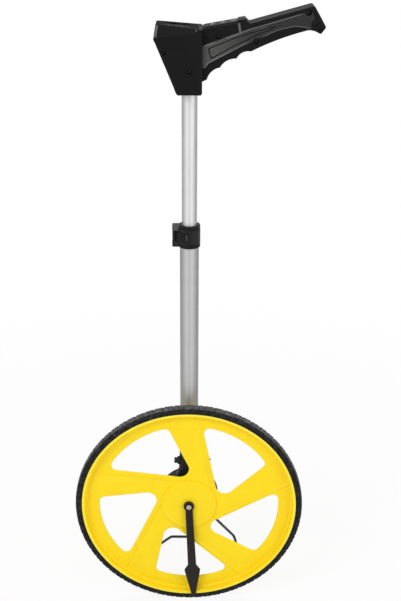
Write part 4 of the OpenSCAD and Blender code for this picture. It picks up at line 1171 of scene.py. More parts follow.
@dataclass
class Hub:
    """Housing behind the wheel with the pole's socket, its rear cover, bolts and the axle's fittings."""

    drum_edge: float = 2.4
    socket_r: float = 14.25
    socket_bore: float = 12.25
    socket_foot: float = 35.0
    socket_lip: float = 0.9
    waist: Edge = (52.0, 56.0)
    mouth: Edge = (9.0, 7.5)
    wall: float = 2.6
    clear: float = 0.2
    gusset_w: float = 7.0
    gusset_foot: float = 32.0
    gusset_top: float = 45.0
    axle_r: float = 4.0
    bolt_r: float = 3.0
    bolt_over: float = 1.6
    pad_r: float = 6.5
    pad_t: float = 2.2
    pad_sunk: float = 1.2
    flange_r: Edge = (4.8, 6.0)
    flange_t: Edge = (2.5, 1.0)
    seat_ring: Edge = (13.0, 14.6)
    rim_ring: Edge = (37.4, 38.8)
    screw_r: float = 2.8
    screw_h: float = 1.5
    nut_wall: float = 3.5
    nut_l: float = 8.0
    wing_at: float = 5.0
    wing_l: float = 14.0
    wing_w: float = 11.0
    wing_t: float = 3.0
    wing_tilt: float = 25.0

    def __post_init__(self) -> None:
        """Reads places from the frame."""
        low, high = span("hub_housing")
        self.front, self.drum_r, self.top = low[1], high[0], high[2]
        self.cover_front, self.cover_back = span("housing_cover")[0][1], span("housing_cover")[1][1]
        self.axle_z = middle_of("axle")[2]
        self.pole_y, self.tube_foot = middle_of("lower_tube")[1], span("lower_tube")[0][2]
        self.bolt_z = middle_of("socket_bolt")[2]
        self.bolt_left, self.bolt_right = (corner[0] for corner in span("socket_bolt"))

    def socket(self) -> Surface:
        """The pole's socket, with a lip round its mouth.

        Its rings go up the outside, past the waist, down the bore and over the floor. The foot's height
        follows the drum's outline behind the rear cover, where it is the root of the drum's radius squared
        minus x squared.
        """
        flat = circle(1.0, steps=96)
        r, bore, top = self.socket_r, self.socket_bore, self.top - self.axle_z
        behind = flat[:, 1] * r + self.pole_y > self.cover_front
        drum = np.sqrt((self.drum_r + self.clear) ** 2 - (flat[:, 0] * r) ** 2)
        foot = np.where(behind, drum, self.socket_foot)
        seat, slim = self.tube_foot - self.axle_z, r - self.socket_lip
        rows = [(HAIR, self.drum_r - 2), (r, foot), (r, self.gusset_top), (r, self.waist[0]),
                (slim, self.waist[1]), (slim, top - self.mouth[0]), (r, top - self.mouth[1]), (r, top - 0.7),
                (r - 0.3, top - 0.2), (r - 0.8, top), (bore + 0.4, top), (bore, top - 0.5), (bore, seat),
                (HAIR, seat)]
        rings = [np.column_stack([flat * radius, np.broadcast_to(z, len(flat))]) for radius, z in rows]
        return capped(np.stack(rings)).shifted(y=self.pole_y, z=self.axle_z)

    def build_housing(self) -> None:
        """A drum with rounded edges, the socket, webs between them and pads under the cross bolt."""
        rear = self.cover_front - self.clear
        drum = revolve(fillet([
            [self.axle_r, self.front], [self.drum_r, self.front], [self.drum_r, rear], [self.axle_r, rear]],
            [0.2, self.drum_edge, 0.5, 0.2]), ROUND_STEPS)
        r, foot, top = self.socket_r, self.gusset_foot, self.gusset_top
        wide = r + self.gusset_w
        web = fillet([[-wide, foot], [wide, foot], [r - 0.3, top], [-r + 0.3, top]], [0, 0, 1.0, 1.0])
        webs = plate(web, self.front + self.wall, self.cover_front - self.wall, 1.2, 1.2)
        bore, half = self.bolt_r + self.clear, self.pad_t / 2
        places = [side * (r - self.pad_sunk) for side in (-1, 1)]
        pads = [ring(bore, self.pad_r, at - half, at + half, 0.4, 48).along_x() for at in places]
        whole = total([total([drum, webs]).round_axle(self.axle_z), self.socket(),
                       total(pads).shifted(y=self.pole_y, z=self.bolt_z)])
        make_piece("housing_drum", whole, "frame", Paint.HOUSING, ["hub_housing"])

    def build_cover(self) -> None:
        """The rear cover: a plate with sunk screw seats and a raised ring, and its cross-slotted screws."""
        pitch = (span("cover_screws")[1][0] - self.screw_r) * math.sqrt(2)
        seats = [turned(np.array([[pitch, 0.0]]), 45 + 90 * i)[0] for i in range(4)]
        holes = [circle(self.screw_r + 0.1, seat, HOLE_STEPS) for seat in seats] + [circle(self.axle_r)]
        outside, back = circle(self.drum_r, steps=ROUND_STEPS), self.cover_back
        cover = plate(outside, self.cover_front, back, 0.4, 1.2, holes, 0.3)
        raised = ring(*self.seat_ring, back - 0.5, back + 0.7, 0.5)
        rim = ring(*self.rim_ring, back - 0.5, back + 0.5, 0.4)
        made = total([cover, raised, rim]).round_axle(self.axle_z)
        make_piece("housing_rear_cover", made, "frame", Paint.HOUSING, ["housing_cover"])
        r, deep = self.screw_r - 0.05, self.screw_h
        heads = [screw_head(r, back - deep, deep, seat, -1) for seat in seats]
        made = total(heads).round_axle(self.axle_z)
        make_piece("cover_screw_heads", made, "frame", Paint.STEEL, ["cover_screws"])

    def build_bolt(self) -> None:
        """The cross bolt with a flanged hexagon head."""
        left, centre = -self.socket_r, 0.05
        (crown_r, flange_r), (crown, skirt) = self.flange_r, (left - drop for drop in self.flange_t)
        hexagon = fillet(turned(circle(self.bolt_r + self.bolt_over, steps=6), 30), 0.5, steps=3)
        head = plate(hexagon, self.bolt_left, crown + self.clear, (0.7, 0.5), CRISP)
        flange = revolve(fillet([
            [centre, crown], [crown_r, crown], [flange_r, skirt], [flange_r, left], [centre, left]],
            [0, 0.3, 0.4, 0.2, 0]), 64)
        shank = disc(self.bolt_r, left - self.clear, self.bolt_right, 0.3, 0.6)
        bolt = total([head, flange, shank]).along_x().shifted(y=self.pole_y, z=self.bolt_z)
        make_piece("cross_bolt", bolt, "frame", Paint.BOLT, ["socket_bolt"])

    def build_wing_nut(self) -> None:
        """The wing nut: a collar and two wings that droop."""
        start = self.socket_r
        collar = ring(self.bolt_r, self.bolt_r + self.nut_wall, start, start + self.nut_l, 0.9, 64).along_x()
        near, far = start + self.wing_at, start + self.wing_at + self.wing_w
        outline = fillet([
            [near, 2.0], [far - 4.0, 2.0], [far, 7.0], [far, self.wing_l], [near + 1.0, self.wing_l],
            [near, 8.0]], [0, 1.5, 3.0, 3.4, 3.4, 2.0])
        half = self.wing_t / 2
        wing = Place.tipped((0, 0, 0), -self.wing_tilt).put(plate(outline, -half, half, 1.0, 1.0))
        nut = total([collar, wing.mirrored(0.0), wing]).shifted(y=self.pole_y, z=self.bolt_z)
        make_piece("wing_nut", nut, "frame", Paint.CLAMP, ["socket_wing_nut"], slot="wing_black")

    def build(self) -> None:
        """Builds the hub's outer pieces and dresses its inner CAD nodes."""
        self.build_housing()
        self.build_cover()
        self.build_bolt()
        self.build_wing_nut()
        dress(Paint.STEEL, "axle", "front_washer", "rear_washer", "axle_nut")
        dress(Paint.BOARD, "sensor_board")


@dataclass
class Stand:
    """The bent wire that props the wheel, and the clip that it turns in."""

    bend: float = 6.0
    half_bar: float = 14.0
    right_foot: float = 72.0
    right_run: float = 36.0
    left_leg: float = 2.0
    left_turn: float = 30.0
    left_foot: float = 58.0
    left_run: float = 32.0
    back: float = 138.0
    wire_r: float = 2.0
    floor_gap: float = 0.08
    eye_r: float = 5.5
    eye_gap: float = 0.1
    tab_t: float = 3.0
    clip_edge: float = 0.8
    screw_r: float = 2.8
    screw_h: float = 2.0

    def __post_init__(self) -> None:
        """Reads the hinge's place from the frame."""
        self.clip_low, self.clip_high = span("stand_clip")
        self.hinge = joint_at("stand_fold")

    def path(self) -> Array:
        """The wire's middle line, with round bends and points along its straight runs."""
        z = self.wire_r + self.floor_gap
        corners = np.array([
            [self.right_foot + 2, self.back - self.right_run, z], [self.right_foot, self.back, z],
            [self.half_bar, self.hinge[1], self.hinge[2]], [-self.half_bar, self.hinge[1], self.hinge[2]],
            [self.left_leg, self.back, z], [-self.left_turn, self.back, z],
            [-self.left_foot, self.back - self.left_run, z]])
        return fillet(corners, self.bend, closed=False, steps=10)

    def build(self) -> None:
        """The wire, the clip with its eye and screw tab, and its screw."""
        made = tube(self.path(), self.wire_r)
        make_piece("stand_wire_bent", made, "stand", Paint.WIRE, ["stand_wire"])
        low, high, eye = self.clip_low, self.clip_high, self.eye_r
        deep, top = self.hinge[1] - low[1], high[2] - self.hinge[2]
        outline = fillet([
            [0.0, -eye], [deep, -eye], [deep + eye, -eye], [deep + eye, eye], [self.tab_t, eye],
            [self.tab_t, top], [0.0, top]], [0.6, 0.0, eye - 0.1, eye - 0.1, 1.5, 1.2, 0.5], steps=10)
        bore = circle(self.wire_r + self.eye_gap, (deep, 0.0), HOLE_STEPS)
        bored = plate(outline, low[0], high[0], self.clip_edge, self.clip_edge, [bore])
        clip = bored.along_x().shifted(y=low[1], z=self.hinge[2])
        make_piece("stand_clip_body", clip, "frame", Paint.HOUSING, ["stand_clip"])
        under, height = span("clip_screw")[1][1] - self.screw_h, middle_of("clip_screw")[2]
        head = screw_head(self.screw_r, under, self.screw_h, (0.0, height), -1).upright()
        make_piece("stand_clip_screw", head, "frame", Paint.STEEL, ["clip_screw"])


@dataclass
class Pole:
    """The two tubes, the plastic parts between them, and the flip clamp."""

    wall: float = 1.5
    tube_edge: float = 0.5
    groove: float = 0.7
    groove_at: tuple[float, ...] = (2.2, 3.0, 4.0, 4.8)
    shelf: float = 5.0
    shelf_gap: float = 0.4
    lug_h: float = 8.0
    lug_r: float = 4.4
    lug_over: float = 1.4
    lug_reach: float = 4.5
    lug_edge: float = 0.7
    pin_r: float = 1.5
    hub_r: float = 3.7
    heel_r: float = 5.7
    heel_start: float = 1.0
    heel_at: Edge = (176.0, 248.0)
    window: float = 18.2
    slit: float = 3.0
    lever_t: float = 2.6
    lever_gap: float = 0.3
    lever_start: float = 7.0
    lever_sweep: float = 92.0
    lip_h: float = 1.9
    lip_at: Edge = (14.0, 3.0)
    hollow: float = 1.1
    hollow_from: Edge = (30.0, 40.0)
    hollow_to: Edge = (12.0, 22.0)
    ridge_h: float = 0.3
    ridge_pitch: float = 7.0
    ridge_from: Edge = (44.0, 48.0)
    ridge_to: Edge = (68.0, 72.0)
    bar_h: float = 7.0
    bar_t: float = 1.2
    bar_rise: float = 1.75
    bar_at: Edge = (257.0, 263.0)

    def __post_init__(self) -> None:
        """Reads places from the frame."""
        self.y = middle_of("lower_tube")[1]
        self.lower_r, self.upper_r = (span(node)[1][0] for node in ("lower_tube", "upper_tube"))
        low, high = span("clamp_collar")
        self.collar_r, self.collar_foot, self.collar_top = high[0], low[2], high[2]
        low, high = span("clamp_lever")
        self.lever_foot, self.lever_top = low[2], high[2]
        self.panel_at = (self.collar_r + self.lever_gap + self.lever_t / 2, (low[2] + high[2]) / 2)
        self.pin_x = joint_at("clamp_lever_swing")[0]

    def on_axis(self, surface: Surface) -> Surface:
        """Carries a surface drawn round an upright axis to the pole."""
        return surface.shifted(y=self.y)

    def build_tubes(self) -> None:
        """Both tubes, with rounded ends and a wall."""
        tubes = (("lower", "frame", Paint.TUBE_LOWER), ("upper", "handle", Paint.TUBE_UPPER))
        for name, body, paint in tubes:
            low, high = span(name + "_tube")
            made = ring(high[0] - self.wall, high[0], low[2], high[2], self.tube_edge, ROUND_STEPS)
            make_piece("pole_" + name, self.on_axis(made), body, paint, [name + "_tube"], "tube_aluminium")

    def build_collar(self) -> None:
        """The split collar with grooves round it, and the lugs that hold the lever's pin.

        Two grooved rings and a plain one between them are swept from one side of the slit to the other; the
        plain one leaves a window for the lever's knuckle.
        """
        foot, top = self.collar_foot, self.collar_top
        r, inner, lip = self.collar_r, self.lower_r, self.upper_r + self.shelf_gap
        sunk, shelf = r - self.groove, top - self.shelf
        sill, head = foot + self.lug_h, top - self.lug_h
        groove = np.column_stack([[r, sunk, sunk, r], self.groove_at])
        below = fillet([[inner, foot], [r, foot], *(groove + [0, foot]), [r, sill], [inner, sill]],
                       [0.3, 0.8, 0.3, 0.3, 0.3, 0.3, 0.0, 0.0], steps=4)
        above = fillet([
            [inner, head], [r, head], *(groove[::-1] * [1, -1] + [0, top]), [r - 0.6, top], [lip, top],
            [lip, shelf], [inner, shelf]], [0.0, 0.0, 0.3, 0.3, 0.3, 0.3, 0.9, 0.4, 0.2, 0.2], steps=4)
        plain = np.array([[inner, sill], [r, sill], [r, head], [inner, head]])
        start, end = 90.0 + self.slit, 450.0 - self.slit
        left, right = 180.0 - self.window, 180.0 + self.window
        sweeps = ((below, 120, (start, end)), (above, 120, (start, end)),
                  (plain, 24, (start, left)), (plain, 96, (right, end)))
        band = total([revolve(*sweep) for sweep in sweeps])
        near, far, half = self.pin_x + self.lug_reach, self.pin_x - self.lug_r - self.lug_over, self.lug_r
        lug = fillet([[near, -half], [near, half], [far, half], [far, -half]], [0, 0, 1.8, 1.8], steps=8)
        bore = [circle(self.pin_r, (self.pin_x, 0.0), 24)]
        edge = self.lug_edge
        lower, upper = (plate(lug, z, z + self.lug_h, edge, edge, bore) for z in (foot, head))
        made = self.on_axis(total([band, lower]))
        make_piece("clamp_band", made, "frame", Paint.CLAMP, ["clamp_collar"])
        make_piece("clamp_upper_lug", self.on_axis(upper), "frame", Paint.LUG, slot="clamp_black")

    def panel(self) -> Surface:
        """The lever's panel, which wraps round the collar and ends in a finger lip.

        It is a rounded section of radius and height swept through an angle. Its outside grows by a soft step
        near the free end, and is hollowed between the knuckle and that lip, with low ridges in the hollow.
        """
        end, tall = self.lever_sweep, self.lever_top - self.lever_foot - 0.8
        section = rounded_box(self.lever_t, tall, 1.0, self.panel_at, steps=5)
        reach = np.linspace(self.lever_start, end, 72)
        lip = self.lip_h * smoothstep(reach, end - self.lip_at[0], end - self.lip_at[1])
        hollowed = smoothstep(reach, *self.hollow_from) * smoothstep(end - reach, *self.hollow_to)
        ridged = smoothstep(reach, *self.ridge_from) * (1 - smoothstep(reach, *self.ridge_to))
        ridges = self.ridge_h * np.cos(reach / self.ridge_pitch * 2 * np.pi) * ridged
        outer = section[:, 0] > self.panel_at[0]
        proud = lip + ridges - self.hollow * hollowed
        radius = section[None, :, 0] + proud[:, None] * outer[None]
        return swept(radius, section[None, :, 1], np.radians(reach + 180.0)[:, None], False)

    def build_lever(self) -> None:
        """The lever: a panel, a knuckle on the pin with a heel, and a pale bar under the finger, a painted
        highlight on the lever's lip.
        """
        foot, top = self.lever_foot, self.lever_top
        panel_r, height = self.panel_at
        knuckle = ring(self.pin_r + 0.05, self.hub_r, foot, top, 0.6, 48).shifted(x=self.pin_x)
        inner, outer = self.pin_r + self.heel_start, self.heel_r
        section = rounded_box(outer - inner, top - foot - 0.6, 0.6, ((inner + outer) / 2, height))
        heel = revolve(section, 24, self.heel_at).shifted(x=self.pin_x)
        made = self.on_axis(total([self.panel(), knuckle, heel]))
        make_piece("clamp_flip_lever", made, "clamp_lever", Paint.CLAMP, ["clamp_lever"])
        # A pale bar on the lever's lip: a painted highlight.
        face = panel_r + self.lever_t / 2
        profile = rounded_box(self.bar_t, self.bar_h, 0.4, (face, height + self.bar_rise))
        bar = self.on_axis(revolve(profile, 12, self.bar_at))
        make_piece("clamp_finger_bar", bar, "clamp_lever", Paint.LUG, slot="clamp_black")

    def build(self) -> None:
        """Builds the pole and dresses its inner CAD nodes."""
        self.build_tubes()
        self.build_collar()
        self.build_lever()
        dress(Paint.STEEL, "clamp_pin")
        dress(Paint.LINER, "tube_liner", "guide_bush")


@dataclass
class Handle:
    """The head with its display, the neck with its keys, and the grip.

    Outlines are in X from the pole's axis and Z from the head's foot. The crests between the fingers are
    set from the head's back, and the corners of the grip's end each from the one before. The far half
    mirrors the near half.
    """

    head_w: float = 52.0
    head_back: float = 15.2
    head_front: float = 42.0
    nose_h: float = 64.6
    nose_lean: float = 2.5
    foot_front: float = 16.2
    foot_rise: float = 3.0
    head_h: float = 80.6
    top_fall: float = 5.3
    bezel_low: float = 66.0
    bezel_draft: float = 30.0
    bezel_top: float = 4.0
    back_strip: float = 5.0
    grip_w: float = 32.0
    neck_len: float = 52.0
    neck_rise: float = 10.1
    neck_step: float = 3.2
    grip_len: float = 77.0
    grip_rise: float = 15.5
    finger_h: float = 16.4
    finger_drop: float = 3.9
    scallop: float = 3.2
    underside_sag: float = 2.0
    crests_at: tuple[Edge, ...] = ((5.6, 0.0), (21.0, 14.2), (40.2, 24.7), (57.1, 33.1))
    heel_at: Edge = (14.8, -24.6)
    toe_at: Edge = (-6.1, -7.9)
    hook_at: Edge = (-7.2, 3.6)
    under_at: Edge = (-6.5, 1.2)
    neck_tuck: float = 3.0
    edge: Edge = (4.2, 3.4)
    hole_edge: float = 0.5
    seam: float = 0.25
    seam_edge: float = 0.35
    screw_r: float = 2.9
    screw_h: float = 2.2
    screw_gap: float = 0.1
    screw_sunk: float = 4.0
    head_screws_at: tuple[Edge, ...] = ((0.0, 27.5), (-30.74, 48.7))
    grip_screws_at: tuple[Edge, ...] = ((18.6, -8.6), (6.1, 12.0), (-6.5, -7.5))
    strap_r: float = 2.2
    strap_at: Edge = (2.1, -20.9)
    door_gap: float = 0.3
    insert_proud: float = 1.0
    insert_seat: float = 1.0
    insert_edge: Edge = (2.2, 0.95)
    insert_tight: Edge = (2.0, 9.0)
    wedge_gap: float = 1.6
    wedge_edge: float = 0.6
    tongue_edge: float = 0.5
    toe_rise: float = 8.2
    window_l: float = 30.0
    window_w: float = 26.0
    window_sink: float = 1.0
    window_t: float = 1.5
    bezel_corner: Edge = (4.0, 2.0)
    key_first: float = 12.0
    key_pitch: float = 12.5
    key_l: float = 9.0
    key_w: float = 14.0
    key_edge: Edge = (1.1, 0.7)
    key_gap: float = 0.35
    key_proud: float = 1.8
    key_foot: float = -3.6
    flange_over: float = 1.0
    flange_t: float = 0.9
    well_w: float = 9.0
    well_depth: float = 5.2
    well_at: Edge = (5.0, 44.0)
    deck_h: float = 1.5
    deck_at: Edge = (1.2, 42.4)
    deck_inset: float = 6.5
    rib_w: float = 3.0
    rib_h: float = 11.0
    rib_at: Edge = (42.7, -0.6)
    rib_proud: float = 0.7
    block_l: float = 9.4
    block_at: float = 47.2
    block_h: float = 2.4
    block_inset: float = 5.0

    def __post_init__(self) -> None:
        """Works out the handle's reference points, as its sizes give them."""
        self.y = middle_of("upper_tube")[1]
        self.z = span("handle_shell_front")[0][2]
        self.nose_top = self.nose_lean - self.head_front
        self.bezel_back = self.head_back - self.back_strip
        self.neck_z = self.top_at(self.head_back)
        end_z = self.neck_z + self.neck_len * math.tan(math.radians(self.neck_rise))
        self.neck_end = np.array([self.head_back + self.neck_len, end_z])
        self.grip_start = self.neck_end + self.neck_step * np.array([1, -1])
        self.grip_end = self.grip_start + self.grip_len * heading(self.grip_rise)
        self.crests = np.array(self.crests_at) + [self.head_back, self.finger_h]
        self.heel = self.grip_end + self.heel_at
        self.toe = self.heel + self.toe_at
        self.hook = self.toe + self.hook_at
        self.under = self.hook + self.under_at
        low_x = self.nose_top - self.nose_lean * (self.head_h - self.bezel_low) / (self.head_h - self.nose_h)
        bezel_high = self.top_at(self.bezel_back) - self.bezel_top - 0.1
        self.parting = np.array([[low_x, self.bezel_low], [self.bezel_back, bezel_high]])
        self.place = Place((0.0, self.y, self.z))
        self.display = Place.tilted((self.nose_top, self.y, self.z + self.head_h), -self.top_fall)
        self.neck = Place.tilted((self.head_back, self.y, self.z + self.neck_z), self.neck_rise)
        self.display_len = (self.bezel_back - self.nose_top) / math.cos(math.radians(self.top_fall))
        self.strap = self.grip_end + self.strap_at
        self.head_screws = np.array(self.head_screws_at)
        starts = np.array([[self.head_back, self.neck_z], self.crests[3], self.grip_end])
        self.grip_screws = starts + self.grip_screws_at

    def top_at(self, x: Any) -> Any:
        """Height of the head's top at a place along X."""
        return self.head_h - (x - self.nose_top) * math.tan(math.radians(self.top_fall))

    def parting_at(self, x: Any) -> Any:
        """Height of the bezel's parting line at a place along X."""
        (x0, z0), (x1, z1) = self.parting
        return z0 + (z1 - z0) * (x - x0) / (x1 - x0)

    def on_neck(self, points: Sequence[Edge]) -> Array:
        """Points of place along the neck and height over it, in the handle's outline."""
        return turned(np.array(points), self.neck_rise) + [self.head_back, self.neck_z]

    @staticmethod
    def hollow(first: Array, last: Array, sag: float, steps: int = 12) -> Array:
        """Points of an arc between two points that bows to the left of the chord by a sag, without its end.

        The arc's radius is the half chord squared plus the sag squared, over twice the sag.
        """
        chord = np.linalg.norm(last - first)
        way = (last - first) / chord
        left = np.array([-way[1], way[0]])
        radius = (chord ** 2 / 4 + sag ** 2) / (2 * sag)
        half = math.asin(chord / 2 / radius)
        angle = np.linspace(half, -half, steps + 1)[:-1, None]
        centre = (first + last) / 2 + left * (sag - radius)
        return centre + radius * (left * np.cos(angle) - way * np.sin(angle))

    def head_outline(self) -> tuple[Array, Array]:
        """The head below the bezel's parting line, with the strip behind the bezel.

        Returns:
            Its points, and for each the share of the edge's rounding: small along the parting line, on the
            strip and at the foot.
        """
        back, strip = self.head_back, self.bezel_back
        corners = np.array([
            [-self.foot_front + 2, 0.0], [back - 1.5, 0.0], [back, 2.3], [back, self.neck_z],
            [strip, self.top_at(strip)], self.parting[1], self.parting[0], [-self.head_front, self.nose_h],
            [-self.foot_front, self.foot_rise]])
        loop = refine(fillet(corners, [1.5, 1.0, 1.0, 1.2, 0.8, 0.2, 0.2, 2.0, 3.0]), 2.0)
        x, z = loop.T
        gap = self.parting_at(x) - z
        below = eased(0.08, gap, 0.3, 7.0)
        behind = eased(0.4, self.neck_z - z, 0.0, 14.0)
        foot = eased(0.2, z, 1.0, 14.0)
        return loop, foot * np.where(x > strip + 2, behind, np.where(gap < -0.2, 0.2, below))

    def grip_outline(self, well: bool) -> Array:
        """The neck and the grip: finger hollows, underside, end hook and top.

        Args:
            well: whether the keys' well is cut into the neck's top.

        Returns:
            The outline, anticlockwise.
        """
        c = self.crests
        runs = [self.hollow(c[i], c[i + 1], self.scallop) for i in range(3)]
        lower = np.vstack(runs + [self.hollow(c[3], self.under, self.underside_sag, 16)])
        start = self.head_back - self.neck_tuck
        slope = self.neck_tuck * math.tan(math.radians(self.neck_rise))
        tail = np.array([
            self.under, self.hook, self.toe, self.heel, self.grip_end, self.grip_start, self.neck_end])
        (near, far), deep = self.well_at, -self.well_depth
        pit = self.on_neck([(far, 0.0), (far, deep), (near, deep), (near, 0.0)])
        pit = pit if well else pit[:0]
        first, last = [start, self.finger_h - self.finger_drop], [start, self.neck_z - slope]
        corners = np.vstack([[first], lower, tail, pit, [last]])
        radii = np.concatenate([[0.0], np.zeros(len(lower)), [6.0, 2.0, 2.2, 3.0, 3.6, 1.5, 1.2],
                                np.full(len(pit), 0.3), [0.0]])
        return fillet(corners, radii, steps=8)

    def insert_outline(self) -> Array:
        """The grip insert, set from the finger crests and the grip's ends.

        It is bitten round the screws and the strap hole.
        """
        c, e, s = self.crests, self.grip_end, self.grip_start
        start = self.head_back + 0.2
        corners = np.array([
            [start, self.finger_h + self.toe_rise],
            c[0] + [1.1, 19.4], c[1] + [-1.4, 11.7], c[2] + [8.4, 16.4], c[3] + [20.3, 20.3],
            e + [-39.4, -27.1], e + [-23.2, -23.5], e + [-11.5, -24.3], e + [-3.3, -25.9], e + [0.3, -17.1],
            e + [-2, -4.9], s + [-1.3, -6], [start, self.neck_z - 19.4]])
        loop = fillet(corners, [2.0, 6.0, 30, 60, 40, 30, 20, 10, 2.5, 3.0, 4.0, 60, 2.6], steps=8)
        loop = refine(loop, 0.7)
        for screw in self.grip_screws:
            loop = bite(loop, screw, self.screw_r + 1.2)
        return bite(loop, self.strap, self.strap_r + 3.4)

    def wedge_outline(self, inset: float = 0.0) -> Array:
        """The long wedge in the insert. An inset draws its sides in, and its point back much further."""
        c, s = self.crests, self.grip_start
        corners = np.array([c[0] + [3.8, 23.8], c[2] + [-6.4, 12.5], s + [1.7, -16.9], s + [22.3, -7.9],
                            s + [34.0, -2.2], s + [22.2, -2.9], s + [1.5, -9.3], s + [-21.6, -17.1],
                            c[0] + [0.7, 37.1]])
        point, pull = 4, 5
        moved = corners + mitres(corners) * inset
        moved[point] = corners[point] - pull * inset * (self.grip_end - s) / self.grip_len
        return fillet(moved, [2.0, 60, 60, 20, 0.5, 20, 60, 60, 2.0], steps=8)

    def half(self, opening: Sequence[Array], screws: bool) -> Surface:
        """One shell half on the -Y side: the head, the grip's side and the grip's core with the keys' well.

        Args:
            opening: loops cut through the head.
            screws: whether the screws' holes are cut.

        Returns:
            The half's surface in the row's frame.
        """
        hole = self.screw_r + self.screw_gap
        head_holes, grip_holes = (
            [circle(hole, place, HOLE_STEPS) for place in places] if screws else []
            for places in (self.head_screws, self.grip_screws))
        grip_holes.append(circle(self.strap_r, self.strap, HOLE_STEPS))
        loop, soft = self.head_outline()
        head = plate(loop, -self.head_w / 2, -self.seam, self.edge, self.seam_edge,
                     head_holes + list(opening), self.hole_edge, soft)
        grip = self.grip_outline(False)
        x, z = grip.T
        top = np.interp(x, *np.stack([self.neck_end, self.grip_start, self.grip_end]).T)
        over = np.where(x < self.grip_start[0], z - self.neck_z + 1, z - top)
        soft = 1.0 - 0.65 * smoothstep(over, -4.0, -0.5)
        side = plate(grip, -self.grip_w / 2, -self.well_w - 0.01, self.edge, 0.0, grip_holes, self.hole_edge,
                     soft)
        core = plate(self.grip_outline(True), -self.well_w, -self.seam, 0.0, self.seam_edge, grip_holes)
        return self.place.put(total([head, side, core]).upright())

    def build_shells(self) -> None:
        """Both halves of the handle, the sunk screws, and the battery door in the far side."""
        near = self.half([], True)
        make_piece("handle_near_half", near, "handle", Paint.HANDLE, ["handle_shell_front"])
        low, high = span("battery_door")
        width, _, height = high - low + 2 * self.door_gap
        middle = middle_of("battery_door")
        opening = rounded_box(width, height, 1.2, (middle[0], middle[2] - self.z))
        far = self.half([opening], False).mirrored(self.y)
        make_piece("handle_far_half", far, "handle", Paint.HANDLE, ["handle_shell_rear"])
        heads = [screw_head(self.screw_r - 0.05, self.screw_sunk - width / 2, self.screw_h, place)
                 for width, places in ((self.head_w, self.head_screws), (self.grip_w, self.grip_screws))
                 for place in places]
        made = self.place.put(total(heads).upright())
        make_piece("handle_screw_heads", made, "handle", Paint.BOLT, ["handle_screws"])
        self.build_door(low, high)

    def build_door(self, low: Array, high: Array) -> None:
        """The battery door in the far side of the head, with grip ridges."""
        width, _, height = high - low
        x, _, z = middle_of("battery_door")
        panel = plate(rounded_box(width, height, 1.0, (x, z)), low[1], high[1], SLIGHT, (0.5, 0.4))
        count, first, pitch, wide, tall, proud = 4, 3.5, 2.0, 1.1, height * 0.55, 0.35
        bars = [rounded_box(wide, tall, 0.5, (high[0] - first - pitch * i, z)) for i in range(count)]
        ridges = [plate(bar, high[1] - 0.4, high[1] + proud, 0.05, (0.4, 0.3)) for bar in bars]
        made = total([panel] + ridges).upright()
        make_piece("battery_door_panel", made, "battery_door", Paint.HANDLE, ["battery_door"])
        dress(Paint.STEEL, "door_contact")

    def build_inserts(self) -> None:
        """The grip inserts: a bevelled frame with a sunk groove round a raised wedge.

        The bevel narrows near the toe, the screws and the strap hole, where the frame has no room for it.
        """
        side = -self.grip_w / 2
        face, foot = side - self.insert_proud, side + self.insert_seat
        wedge = self.wedge_outline()
        loop = self.insert_outline()
        toe = np.array([self.head_back, self.finger_h + self.toe_rise])
        tight = np.vstack([toe, self.grip_screws, self.strap])
        away = np.linalg.norm(loop[:, None] - tight[None], axis=2) - self.screw_r
        soft = eased(0.1, away.min(axis=1), *self.insert_tight)
        body = plate(loop, face, foot, self.insert_edge, CRISP, [wedge], self.wedge_edge, soft)
        tongue = plate(self.wedge_outline(self.wedge_gap), face + HAIR, foot, self.tongue_edge, CRISP)
        near = self.place.put(total([body, tongue]).upright())
        sides = (("near", near, "front"), ("far", near.mirrored(self.y), "rear"))
        for name, made, node in sides:
            make_piece("grip_insert_" + name, made, "handle", Paint.INSERT, ["grip_insert_" + node])

    def bezel_ring(self, inset: float, height: float) -> Array:
        """A ring round the bezel between its foot and its top, with its nose corners chamfered.

        A point's foot lies on the parting line and its top on the display's plane. Its half width is the
        head's, less its height over the foot times the tangent of the draft.

        Args:
            inset: how far the ring lies inside the bezel's sides.
            height: 0 at the parting line, 1 at the top face.

        Returns:
            Points in the handle's frame.
        """
        nose = self.parting[0, 0] + (self.nose_top - self.parting[0, 0]) * height + inset
        back, half = self.bezel_back - inset, self.head_w / 2
        long, wide = self.bezel_corner
        corners = np.array([[nose, -half + wide], [nose + long, -half], [back, -half], [back, half],
                            [nose + long, half], [nose, half - wide]])
        x, across = fillet(corners, [0.4, 0.4, 0.3, 0.3, 0.4, 0.4], steps=6).T
        foot = self.parting_at(x)
        z = foot + (self.top_at(x) - foot) * height
        wide = half - (z - foot) * math.tan(math.radians(self.bezel_draft)) - inset
        return np.stack([x, across / half * wide, z], axis=-1)

    def highlight_strip(self, first: int, share: Edge, height: Edge) -> Surface:
        """A slim raised pale strip on the near side of the bezel: a painted highlight on its chamfered
        corner.

        Its outline lies between two neighbouring points of the bezel's rings, and is pushed out along the
        normal in layers of a size and a height.

        Args:
            first: number of the ring's point before the strip.
            share: where the strip starts and ends on the way to the next point.
            height: heights of its foot and top, as in bezel_ring.

        Returns:
            The strip in the handle's frame.
        """
        foot, top = (self.bezel_ring(0.0, level)[[first, first + 1]] for level in height)
        part = np.array(share)[:, None]
        loop = np.vstack([foot[0] + (foot[1] - foot[0]) * part, (top[0] + (top[1] - top[0]) * part)[::-1]])
        normal = np.cross(loop[1] - loop[0], loop[2] - loop[1])
        normal = normal / np.linalg.norm(normal)
        middle = loop.mean(axis=0)
        layers = ((1.0, -0.3), (1.0, 0.1), (0.94, 0.25))
        rings = np.stack([middle + (loop - middle) * size + normal * out for size, out in layers])
        return capped(rings)

